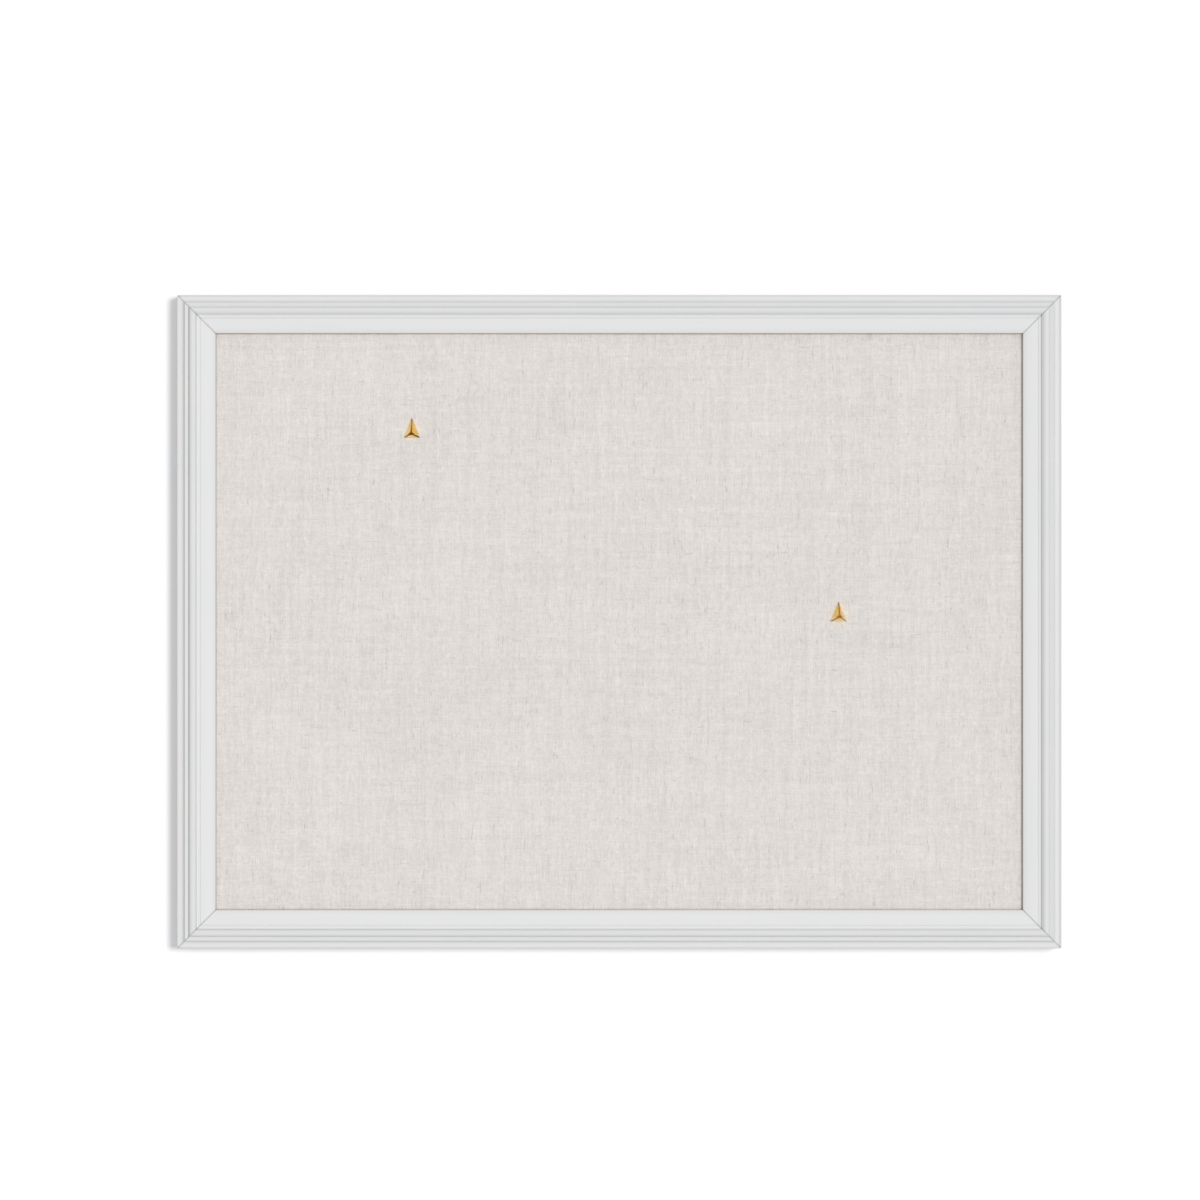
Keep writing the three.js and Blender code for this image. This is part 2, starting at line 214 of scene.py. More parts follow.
@contextmanager
def editing(piece: Piece) -> Iterator[None]:
    """Holds a piece in edit mode with nothing selected, and leaves edit mode at the end.

    Args:
        piece: The piece to edit.

    Yields:
        Nothing, while the piece is in edit mode.
    """
    select_only(piece)
    bpy.ops.object.mode_set(mode="EDIT")
    bpy.ops.mesh.select_all(action="DESELECT")
    yield
    bpy.ops.object.mode_set(mode="OBJECT")


def pick(piece: Piece, part: Part, wanted: Callable[[Element], bool]) -> None:
    """Selects what passes a test in the piece being edited, and nothing else.

    Args:
        piece: The piece, in edit mode.
        part: Whether vertices, edges or faces are tested.
        wanted: The test, given one vertex, edge or face.
    """
    bpy.ops.mesh.select_mode(type=part.name)
    bpy.ops.mesh.select_all(action="DESELECT")
    mesh = bmesh.from_edit_mesh(piece.data)
    for element in filter(wanted, getattr(mesh, part.value)):
        element.select_set(True)
    mesh.select_flush_mode()
    bmesh.update_edit_mesh(piece.data)


def pick_all() -> None:
    """Selects the whole of the piece being edited."""
    bpy.ops.mesh.select_all(action="SELECT")


def extrude(way: Sequence[float]) -> None:
    """Extrudes what is selected and moves it."""
    bpy.ops.mesh.extrude_region_move(TRANSFORM_OT_translate={"value": way})


def resize(scale: Triple, centre: Sequence[float] = (0, 0, 0)) -> None:
    """Resizes what is selected about a centre."""
    bpy.ops.transform.resize(value=scale, center_override=centre)


def round_edges(width: float, segments: int) -> None:
    """Bevels the selected edges."""
    bpy.ops.mesh.bevel(offset=width, segments=segments, affect="EDGES")


def round_all(width: float, segments: int) -> None:
    """Bevels every edge of the piece being edited."""
    pick_all()
    round_edges(width, segments)


def middle(edge: bmesh.types.BMEdge) -> Vector:
    """The middle of an edge."""
    return (edge.verts[0].co + edge.verts[1].co) / 2


def apply_modifiers(piece: Piece) -> None:
    """Applies each modifier of a piece in turn.

    Args:
        piece: The piece.
    """
    select_only(piece)
    for modifier in list(piece.modifiers):
        bpy.ops.object.modifier_apply(modifier=modifier.name)


def named_primitive(name: str, width: float = 1.0, height: float = 1.0) -> Piece:
    """Names the primitive that was just added and moves its place into its mesh.

    Args:
        name: The piece's name.
        width: How many times wider it becomes along its own X axis.
        height: How many times longer it becomes along its own Y axis.

    Returns:
        The piece, at the origin.
    """
    piece = bpy.context.object
    piece.name = name
    piece.data.name = name
    piece.scale.x *= width
    piece.scale.y *= height
    select_only(piece)
    bpy.ops.object.transform_apply(location=True, rotation=True, scale=True)
    return piece


def add_block(name: str, box: Box) -> Piece:
    """A rectangular blank that fills a box, to be shaped further."""
    bpy.ops.mesh.primitive_cube_add(size=1, location=box.centre, scale=box.size)
    return named_primitive(name)


def add_rod(
    name: str, width: float, length: float, sides: int, start: Sequence[float] = (0, 0, 0)
) -> Piece:
    """A round blank along Y, to be shaped further.

    Args:
        name: The piece's name.
        width: Its diameter.
        length: How long it is.
        sides: How many sides it has.
        start: The middle of its front end, which it runs back from.

    Returns:
        The blank, at the origin.
    """
    bpy.ops.mesh.primitive_cylinder_add(
        vertices=sides,
        radius=width / 2,
        depth=length,
        location=Vector(start) + Vector((0, length / 2, 0)),
        rotation=FACE_FORWARD,
    )
    return named_primitive(name)


def copy_of(piece: Piece, name: str, place: Matrix) -> Piece:
    """A copy of a piece with its own mesh, moved by a matrix.

    Args:
        piece: The piece to copy.
        name: The copy's name.
        place: Where the copy goes from where the piece is.

    Returns:
        The copy, at the origin, with its place in its mesh.
    """
    copied = piece.copy()
    copied.data = piece.data.copy()
    copied.name = name
    copied.data.name = name
    bpy.context.scene.collection.objects.link(copied)
    copied.data.transform(place)
    return copied


def mark_places(piece: Piece, name: str, origin: Vector) -> None:
    """Keeps where each point of a piece is now, for a finish that follows the piece.

    Args:
        piece: The piece, before it is turned and moved to its place.
        name: The attribute's name, which the finish reads.
        origin: The place that the attribute counts from.
    """
    places = piece.data.attributes.new(name, "FLOAT_VECTOR", "POINT")
    flat = [axis for vertex in piece.data.vertices for axis in vertex.co - origin]
    places.data.foreach_set("vector", flat)


def discard(piece: Piece) -> None:
    """Removes a pattern or cutter that isn't part of the board."""
    bpy.data.objects.remove(piece, do_unlink=True)


def smooth_by_angle(piece: Piece, degrees: float) -> None:
    """Shades a piece smooth across edges flatter than an angle, and sharp across the rest."""
    select_only(piece)
    bpy.ops.object.shade_smooth_by_angle(angle=math.radians(degrees))


def face_outwards(piece: Piece) -> None:
    """Merges a piece's doubled vertices and turns all its faces out.

    Args:
        piece: The piece.
    """
    with editing(piece):
        pick_all()
        bpy.ops.mesh.remove_doubles(threshold=0.001 * MM)
        bpy.ops.mesh.normals_make_consistent(inside=False)


def bezier(points: Sequence[Vector], steps: int) -> list[Vector]:
    """Points along a curve from the first of some points to the last, drawn out by the others.

    Args:
        points: Where the curve starts, what draws it out, and where it ends.
        steps: How many points are returned.

    Returns:
        The points after the start, of which the last is the end.
    """
    curve = []
    for step in range(1, steps + 1):
        row = list(points)
        while len(row) > 1:
            row = [before.lerp(after, step / steps) for before, after in zip(row, row[1:])]
        curve.append(row[0])
    return curve


@dataclass(frozen=True)
class Noise:
    """A pattern of smooth random patches.

    Attributes:
        count: How many patches there are to a metre.
        squeeze: What the count is multiplied by along each axis: less than 1 draws patches out.
        detail: How many finer patterns lie over the first.
    """

    count: Value
    squeeze: Triple = (1.0, 1.0, 1.0)
    detail: float = 1.0


class NodeBench:
    """Adds and joins the nodes of one shader node tree, from left to right."""

    SPACING = 190.0

    def __init__(self, tree: bpy.types.NodeTree) -> None:
        """Starts on an emptied tree."""
        self.tree = tree
        self.tree.nodes.clear()

    def feed(self, node: bpy.types.Node, inputs: Inputs) -> None:
        """Links or sets inputs of a node.

        Args:
            node: The node.
            inputs: By name or number, a signal to link from or a value to set.
        """
        for key, value in inputs.items():
            if isinstance(value, Signal):
                self.tree.links.new(value.socket, node.inputs[key])
            else:
                node.inputs[key].default_value = value

    def add(self, kind: str, inputs: Inputs | None = None, **settings: object) -> bpy.types.Node:
        """Adds a node.

        Args:
            kind: The node's type, without the words ShaderNode at its front.
            inputs: By name or number, a signal to link from or a value to set.
            **settings: Properties of the node, which are set before its inputs.

        Returns:
            The node.
        """
        prefix = "" if kind.startswith("NodeGroup") else "ShaderNode"
        node = self.tree.nodes.new(prefix + kind)
        node.location.x = self.SPACING * len(self.tree.nodes)
        for name, value in settings.items():
            setattr(node, name, value)
        self.feed(node, inputs or {})
        return node

    def signals(self, kind: str, inputs: Inputs | None = None, **settings: object) -> "list[Signal]":
        """What comes out of each output of a new node."""
        return [Signal(self, socket) for socket in self.add(kind, inputs, **settings).outputs]

    def named(self, kind: str, inputs: Inputs | None = None, **settings: object) -> "dict[str, Signal]":
        """What comes out of each output of a new node, by the output's name."""
        return {signal.socket.name: signal for signal in self.signals(kind, inputs, **settings)}


@dataclass(frozen=True)
class Signal:
    """A number, a vector, a colour or a shader that comes out of a node.

    Attributes:
        bench: The bench that the node is on.
        socket: The node's output.
    """

    bench: NodeBench
    socket: bpy.types.NodeSocket

    def math(self, operation: str, other: Value = 0.0) -> "Signal":
        """The result of one arithmetic step on numbers."""
        return self.bench.signals("Math", {0: self, 1: other}, operation=operation)[0]

    def __add__(self, other: Value) -> "Signal":
        """The sum of two numbers."""
        return self.math("ADD", other)

    __radd__ = __add__

    def __sub__(self, other: Value) -> "Signal":
        """This number less another."""
        return self.math("SUBTRACT", other)

    def __rsub__(self, other: float) -> "Signal":
        """Another number less this one."""
        return self * -1.0 + other

    def __mul__(self, other: Value) -> "Signal":
        """The product of two numbers."""
        return self.math("MULTIPLY", other)

    def larger(self, other: Value) -> "Signal":
        """The larger of two numbers."""
        return self.math("MAXIMUM", other)

    def apart(self, other: Value) -> "Signal":
        """How far two numbers are apart."""
        return (self - other).math("ABSOLUTE")

    def remap(self, source: Span, target: Span = (0.0, 1.0)) -> "Signal":
        """This number carried from one range to another and held inside it."""
        names = ("Value", "From Min", "From Max", "To Min", "To Max")
        return self.bench.signals("MapRange", dict(zip(names, (self, *source, *target))))[0]

    def blend(self, other: Value, share: Value) -> "Signal":
        """A number from this one to another, by a share from 0 to 1."""
        return self.bench.signals("Mix", {0: share, 2: self, 3: other}, data_type="FLOAT")[0]

    def mix(self, first: Value, second: Value) -> "Signal":
        """A colour between two, by this share from 0 to 1."""
        return self.bench.signals("Mix", {0: self, 6: first, 7: second}, data_type="RGBA")[2]

    def tint(self, colour: Triple) -> "Signal":
        """A colour made lighter or darker by this tone, where 1 leaves it as it is."""
        return self.bench.signals("VectorMath", {0: colour, "Scale": self}, operation="SCALE")[0]

    def vector(self, operation: str, other: Value) -> "Signal":
        """The vector that one arithmetic step on vectors gives."""
        return self.bench.signals("VectorMath", {0: self, 1: other}, operation=operation)[0]

    def measure(self, operation: str, other: Value = (0.0, 0.0, 0.0)) -> "Signal":
        """The number that one arithmetic step on vectors gives, such as a length."""
        return self.bench.signals("VectorMath", {0: self, 1: other}, operation=operation)[1]

    def stretch(self, scale: Value) -> "Signal":
        """This vector or colour multiplied by another, axis by axis."""
        return self.vector("MULTIPLY", scale)

    def axes(self) -> "list[Signal]":
        """The three axes of this vector."""
        return self.bench.signals("SeparateXYZ", {0: self})

    def noise(self, pattern: Noise) -> "Signal":
        """A smooth random number from 0 to 1 at this place."""
        inputs = {"Vector": self.stretch(pattern.squeeze), "Scale": pattern.count, "Detail": pattern.detail}
        return self.bench.signals("TexNoise", inputs)[0]

    def bump(self, distance: float) -> "Signal":
        """A normal tilted by this height from 0 to 1, which stands for a real distance."""
        return self.bench.signals("Bump", {"Height": self, "Distance": distance, "Strength": 1.0})[0]


class SharedGroup:
    """An effect that a material can take, as a node group made at its first use.

    Attributes:
        name: The group's name.
        takes: The names and kinds of its inputs.
        gives: The names of its outputs, which are all numbers.
    """

    name: ClassVar[str]
    takes: ClassVar[dict[str, SocketKind]]
    gives: ClassVar[tuple[str, ...]]

    @classmethod
    def placed(cls, bench: NodeBench, inputs: Inputs) -> dict[str, Signal]:
        """The outputs of the group, placed in a material with the material's own values."""
        return bench.named("Group", inputs, node_tree=cls._tree())

    @classmethod
    def _tree(cls) -> bpy.types.NodeTree:
        """Finds the group or makes it.

        Returns:
            The group's tree.
        """
        tree = bpy.data.node_groups.get(cls.name)
        if tree is None:
            tree = bpy.data.node_groups.new(cls.name, "ShaderNodeTree")
            for name, kind in cls.takes.items():
                tree.interface.new_socket(name, in_out="INPUT", socket_type=kind.value)
            for name in cls.gives:
                tree.interface.new_socket(name, in_out="OUTPUT", socket_type=SocketKind.NUMBER.value)
            bench = NodeBench(tree)
            bench.add("NodeGroupOutput", cls.fill(bench.named("NodeGroupInput")))
        return tree

    @classmethod
    def fill(cls, given: dict[str, Signal]) -> Inputs:
        """Adds the group's own nodes, and names what goes to each output."""
        raise NotImplementedError


class GrainGroup(SharedGroup):
    """The fine unevenness that any surface has: a tone near 1, a roughness and a height."""

    name = "Fine_grain"
    takes = {
        "Vector": SocketKind.VECTOR,
        "Scale": SocketKind.NUMBER,
        "Tone amount": SocketKind.NUMBER,
        "Roughness": SocketKind.NUMBER,
        "Roughness amount": SocketKind.NUMBER,
    }
    gives = ("Tone", "Roughness", "Height")
    FINE_DETAIL = 4.0
    BROAD_DETAIL = 2.0
    BROAD_SCALE = 0.09
    BROAD_SHARE = 0.6

    @classmethod
    def fill(cls, given: dict[str, Signal]) -> Inputs:
        """Lays a broad pattern over a fine one.

        Args:
            given: The group's inputs.

        Returns:
            The tone, the roughness, and the fine pattern as the height.
        """
        place, scale = given["Vector"], given["Scale"]
        fine = place.noise(Noise(scale, detail=cls.FINE_DETAIL))
        broad = place.noise(Noise(scale * cls.BROAD_SCALE, detail=cls.BROAD_DETAIL))
        grain = fine.blend(broad, cls.BROAD_SHARE) - 0.5
        return {
            "Tone": grain * given["Tone amount"] + 1.0,
            "Roughness": grain * given["Roughness amount"] + given["Roughness"],
            "Height": fine,
        }


class WeaveGroup(SharedGroup):
    """Plain-woven thread: the tones of the warp and the weft, and a height.

    It takes a place across and up the cloth, counted in threads. Each thread has its own light and
    thick stretches, some long and some short.
    """

    name = "Plain_weave"
    takes = {"Across": SocketKind.NUMBER, "Up": SocketKind.NUMBER}
    gives = ("Warp", "Weft", "Height")
    WARP_SEED = 1.5
    WEFT_SEED = 47.5
    THREAD_SPACING = 3.7
    LONG_RUNS = Noise(1.0, (1.0, 0.045, 1.0))
    SHORT_RUNS = Noise(1.0, (1.0, 0.3, 1.0))

    @classmethod
    def _slubs(cls, index: Signal, along: Signal, seed: float) -> Signal:
        """How thick and light a thread is along its length.

        Args:
            index: The thread's number.
            along: The place along it, in threads.
            seed: What tells one set of threads from the other.

        Returns:
            A number from 0 to 1.
        """
        inputs = {0: index * cls.THREAD_SPACING, 1: along, 2: seed}
        place = index.bench.signals("CombineXYZ", inputs)[0]
        return place.noise(cls.LONG_RUNS).blend(place.noise(cls.SHORT_RUNS), 0.5)

    @classmethod
    def fill(cls, given: dict[str, Signal]) -> Inputs:
        """Numbers the threads, and rounds each where it lies on top.

        Args:
            given: The group's inputs.

        Returns:
            The tones of the warp and the weft, and the height.
        """
        across, up = given["Across"], given["Up"]
        column, row = across.math("FLOOR"), up.math("FLOOR")
        warp_on_top = (column + row).math("PINGPONG", 1.0)
        warp_round, weft_round = [
            (place.math("FRACT") * math.pi).math("SINE") for place in (across, up)
        ]
        return {
            "Warp": cls._slubs(column, up, cls.WARP_SEED),
            "Weft": cls._slubs(row, across, cls.WEFT_SEED),
            "Height": weft_round.blend(warp_round, warp_on_top),
        }


class Finish:
    """What every finish shares: a named material with one surface shader.

    Attributes:
        name: The material's name.
        slot: The record's material slot for pieces in this finish.
        attribute: Where the finish reads its place on the piece, or nothing for Object coordinates.
    """

    name: str
    slot: str = ""
    attribute: str = ""

    def material(self) -> bpy.types.Material:
        """Finds the finish's material or makes it.

        Returns:
            The material.
        """
        made = bpy.data.materials.get(self.name)
        if made is None:
            made = bpy.data.materials.new(self.name)
            made.use_nodes = True
            bench = NodeBench(made.node_tree)
            shader = bench.add("BsdfPrincipled")
            if self.attribute:
                place = bench.named("Attribute", attribute_name=self.attribute)["Vector"]
            else:
                place = bench.named("TexCoord")["Object"]
            bench.feed(shader, self.shade(place))
            bench.add("OutputMaterial", {"Surface": Signal(bench, shader.outputs[0])})
        return made

    def shade(self, place: Signal) -> Inputs:
        """Adds the finish's own nodes, and names what goes to each input of its shader."""
        raise NotImplementedError

    def coat(self, piece: Piece) -> None:
        """Puts the finish on a piece, in place of any that it has."""
        piece.data.materials.clear()
        piece.data.materials.append(self.material())


@dataclass(frozen=True, kw_only=True)
class GrainedFinish(Finish):
    """An even colour with fine unevenness in tone, gloss and surface.

    Attributes:
        colour: The middle colour.
        roughness: The middle roughness.
        metallic: 1 for bare metal, 0 for the rest.
        grain: How many grains there are to a metre.
        tone_amount: How far the tone varies.
        roughness_amount: How far the roughness varies.
        relief: The depth of the grain.
    """

    name: str
    slot: str
    colour: Triple
    roughness: float
    metallic: float = 0.0
    grain: float
    tone_amount: float
    roughness_amount: float
    relief: float

    def shade(self, place: Signal) -> Inputs:
        """Makes the colour, the roughness and the normal from the grain.

        Args:
            place: The place on the piece.

        Returns:
            The shader's inputs.
        """
        grain = GrainGroup.placed(place.bench, {
            "Vector": place,
            "Scale": self.grain,
            "Tone amount": self.tone_amount,
            "Roughness": self.roughness,
            "Roughness amount": self.roughness_amount,
        })
        return {
            "Base Color": grain["Tone"].tint(self.colour),
            "Roughness": grain["Roughness"],
            "Normal": grain["Height"].bump(self.relief),
            "Metallic": self.metallic,
        }


@dataclass(frozen=True, kw_only=True)
class BrushedPaint(Finish):
    """Satin paint brushed on along a moulding, read from a place on its blank.

    The paint is cooler in cloudy patches and darker along the mitres. Painted shade darkens it towards the
    cloth: a little as a wash over the front, and most where the inner edge rounds over down to the cloth.

    Attributes:
        bands: How far inward each band of the moulding starts, and its tone, which is painted shade.
        corner: Half the frame's width and height.
        centre: The middle of the frame, across and up.
        sight_line: How far inward the moulding's inner edge is.
        cloth_height: How far forward the cloth is.
    """

    name = "white_satin_paint"
    slot = "white_paint"
    attribute = "rail_place"

    # Each band's tone is painted shade, darker on the outer mouldings.
    bands: tuple[Span, ...]
    corner: Span
    centre: Span
    sight_line: float
    cloth_height: float
    colour: Triple = (0.775, 0.777, 0.776)
    roughness: float = 0.6
    shine: float = 0.3
    band_blur: float = 0.1 * MM
    streak_amount: float = 0.05
    fine_marks: Noise = Noise(620.0, (0.03, 1.0, 1.0), 2.0)
    broad_marks: Noise = Noise(150.0, (0.1, 1.0, 1.0), 2.0)
    # What the clouds multiply the paint by, and where in their pattern they start and are full.
    cool: Triple = (0.988, 0.994, 1.0)
    clouds: Noise = Noise(24.0)
    cloud_edge: Span = (0.42, 0.62)
    # What the paint is multiplied by along a mitre, and how far to each side that darkening reaches.
    dust: Span = (0.83, 0.6 * MM)
    # Painted shade from the cloth: what the paint is multiplied by where it is full.
    tuck: Triple = (0.80, 0.79, 0.78)
    # How far from the inner edge the wash of painted shade starts and is full.
    wash_reach: Span = (3.2 * MM, 0.2 * MM)
    wash_amount: float = 0.3
    # How wide the inner edge is where the painted shade is strongest.
    edge_width: float = 0.35 * MM
    # The painted shade on that edge falls over this rise above the cloth to its least.
    edge_rise: float = 2.2 * MM
    edge_least: float = 0.25
    # How many grains there are to a metre, and how they are drawn out along the moulding.
    grain: float = 900.0
    grain_run: Triple = (0.2, 1.0, 1.0)
    roughness_amount: float = 0.25
    relief: float = 0.015 * MM

    def shade(self, place: Signal) -> Inputs:
        """Makes the colour from the brush marks, the clouds and the painted shade, and the rest from a
        grain.

        Args:
            place: The place on the blank.

        Returns:
            The shader's inputs.
        """
        _, back, outward = place.axes()
        forward, inward = back * -1.0, outward * -1.0
        tone = self._brushed(place, inward) * self._dusted(place.bench)
        cloudy = place.noise(self.clouds).remap(self.cloud_edge)
        painted = tone.tint(self.colour).stretch(cloudy.mix(WHITE, (*self.cool, 1.0)))
        grain = GrainGroup.placed(place.bench, {
            "Vector": place.stretch(self.grain_run),
            "Scale": self.grain,
            "Roughness": self.roughness,
            "Roughness amount": self.roughness_amount,
        })
        return {
            # The paint darkened by the painted shade from the cloth.
            "Base Color": self._tucked(inward, forward).mix(painted, painted.stretch(self.tuck)),
            "Roughness": grain["Roughness"],
            "Normal": grain["Height"].bump(self.relief),
            "Specular IOR Level": self.shine,
        }

    def _brushed(self, place: Signal, inward: Signal) -> Signal:
        """The painted shade of each band of the moulding, and the tone of the brush marks.

        Args:
            place: The place on the blank.
            inward: How far inward it lies.

        Returns:
            A tone near 1.
        """
        marks = place.noise(self.fine_marks).blend(place.noise(self.broad_marks), 0.5)
        tone = (marks - 0.5) * self.streak_amount + self.bands[0][1]
        # Each step in tone from band to band is painted shade.
        for (_, before), (start, after) in zip(self.bands, self.bands[1:]):
            fading = (start - self.band_blur, start + self.band_blur)
            tone += inward.remap(fading, (0.0, after - before))
        return tone

    def _dusted(self, bench: NodeBench) -> Signal:
        """The darker tone along the mitres, by how far a place lies from the nearest diagonal of a corner.

        Args:
            bench: The material's bench.

        Returns:
            The darker tone in a mitre, and 1 away from them.
        """
        across, _, up = bench.named("TexCoord")["Object"].axes()
        from_edges = [
            along.apart(centre) - half
            for along, centre, half in zip((across, up), self.centre, self.corner)
        ]
        reach = self.dust[1] * math.sqrt(2)
        return from_edges[0].apart(from_edges[1]).remap((reach / 3, reach), (self.dust[0], 1.0))

    def _tucked(self, inward: Signal, forward: Signal) -> Signal:
        """How far painted shade from the cloth darkens the paint.

        Args:
            inward: How far inward a place lies.
            forward: How far forward it lies.

        Returns:
            A share from 0 to 1.
        """
        # Painted shade: a faint wash over the front, and full on the inner edge near the cloth.
        start, full = [self.sight_line - reach for reach in self.wash_reach]
        wash = inward.remap((start, full), (0.0, self.wash_amount))
        edge_shade = inward.remap((self.sight_line - self.edge_width, self.sight_line))
        rise = (self.cloth_height, self.cloth_height + self.edge_rise)
        return wash.larger(edge_shade * forward.remap(rise, (1.0, self.edge_least)))


@dataclass(frozen=True, kw_only=True)
class RidgedGold(Finish):
    """Polished gold plate on a pyramid, with painted dark reflections along its ridges and at its peak, and
    painted highlights on two faces.

    A ramp here is a range in metres, and what the effect is at its two ends.

    Attributes:
        name: The material's name.
        highlit: Which side of the peak has a painted highlight.
        peak: How strong the painted dark reflection is at the peak.
        ridges: For each ridge, its direction from the peak as seen from the front, and how strong its
            painted dark reflection is.
    """

    slot = "gold_plate"
    attribute = "pin_place"

    name: str
    # The side of the peak with a painted highlight.
    paler: Hand
    # How strong the painted dark reflections are at the peak and along each ridge.
    peak: float
    ridges: tuple[tuple[Triple, float], ...]
    colour: Colour = (1.0, 0.72, 0.32, 1.0)
    # Its tint where it is seen at a slant.
    slant_tint: Colour = (1.0, 0.76, 0.42, 1.0)
    roughness: float = 0.16
    polish: Noise = Noise(1500.0, detail=2.0)
    relief: float = 0.006 * MM
    # The greener patches, and where in their pattern they start and are full.
    olive: Colour = (0.82, 0.63, 0.22, 1.0)
    patches: Noise = Noise(380.0)
    patch_edge: Span = (0.4, 0.62)
    patch_amount: float = 0.8
    # Painted highlights: the gold of the face turned down and of the face on the highlit side, by distance
    # from the peak.
    pale: Colour = (1.0, 0.88, 0.66, 1.0)
    pale_below: Ramp = ((-0.5 * MM, -1.0 * MM), (0.0, 0.7))
    pale_beside: Ramp = ((0.0, 1.5 * MM), (0.0, 0.6))
    # The painted dark reflection: its brown, how many times rougher it is, and how it is drawn out across
    # on the peak. Its edges are the distances at which it starts to fade and is gone.
    brown: Colour = (0.13, 0.03, 0.001, 1.0)
    brown_roughness: float = 2.2
    peak_edge: Span = (0.65 * MM, 1.15 * MM)
    peak_squeeze: Triple = (0.5, 0.0, 1.0)
    # A ridge's painted dark reflection fades to its own strength away from the peak, and is pushed away
    # behind the peak.
    ridge_edge: Span = (0.26 * MM, 0.66 * MM)
    ridge_fading: Span = (1.5 * MM, 5.0 * MM)
    ridge_back: Ramp = ((-0.1 * MM, 0.0), (5.0 * MM, 0.0))

    def shade(self, place: Signal) -> Inputs:
        """Makes the gold from its patches and its painted highlights, and adds the painted dark
        reflections.

        Args:
            place: The place from the peak.

        Returns:
            The shader's inputs.
        """
        across, _, up = place.axes()
        patchy = place.noise(self.patches).remap(self.patch_edge, (0.0, self.patch_amount))
        # Painted highlights: paler gold on the face turned down and on the highlit side.
        beside = (across * float(self.paler.value)).remap(*self.pale_beside)
        paler = up.remap(*self.pale_below).larger(beside)
        gold = paler.mix(patchy.mix(self.colour, self.olive), self.pale)
        # Painted dark reflections along the ridges and at the peak, rougher than the gold.
        reflection_mask = self._browned(place)
        roughnesses = (self.roughness, self.roughness * self.brown_roughness)
        return {
            "Base Color": reflection_mask.mix(gold, self.brown),
            "Roughness": reflection_mask.remap((0.0, 1.0), roughnesses),
            "Normal": place.noise(self.polish).bump(self.relief),
            "Metallic": 1.0,
            "Specular Tint": self.slant_tint,
        }

    def _browned(self, place: Signal) -> Signal:
        """How strong the painted dark reflection is, by the distance from the peak and from each ridge.

        Args:
            place: The place from the peak.

        Returns:
            A share from 0 to 1.
        """
        seen = place.stretch(AS_SEEN)
        away = seen.measure("LENGTH")
        from_peak = place.stretch(self.peak_squeeze).measure("LENGTH")
        # Painted dark reflection at the peak, then along each ridge.
        reflection_mask = from_peak.remap(self.peak_edge, (self.peak, 0.0))
        for ridge, strength in self.ridges:
            aside = seen.vector("CROSS_PRODUCT", ridge).measure("LENGTH")
            behind = seen.measure("DOT_PRODUCT", ridge).remap(*self.ridge_back)
            line = (aside + behind).remap(self.ridge_edge, (1.0, 0.0))
            fading = away.remap(self.ridge_fading, (self.peak, strength * self.peak))
            reflection_mask = reflection_mask.larger(line * fading)
        return reflection_mask


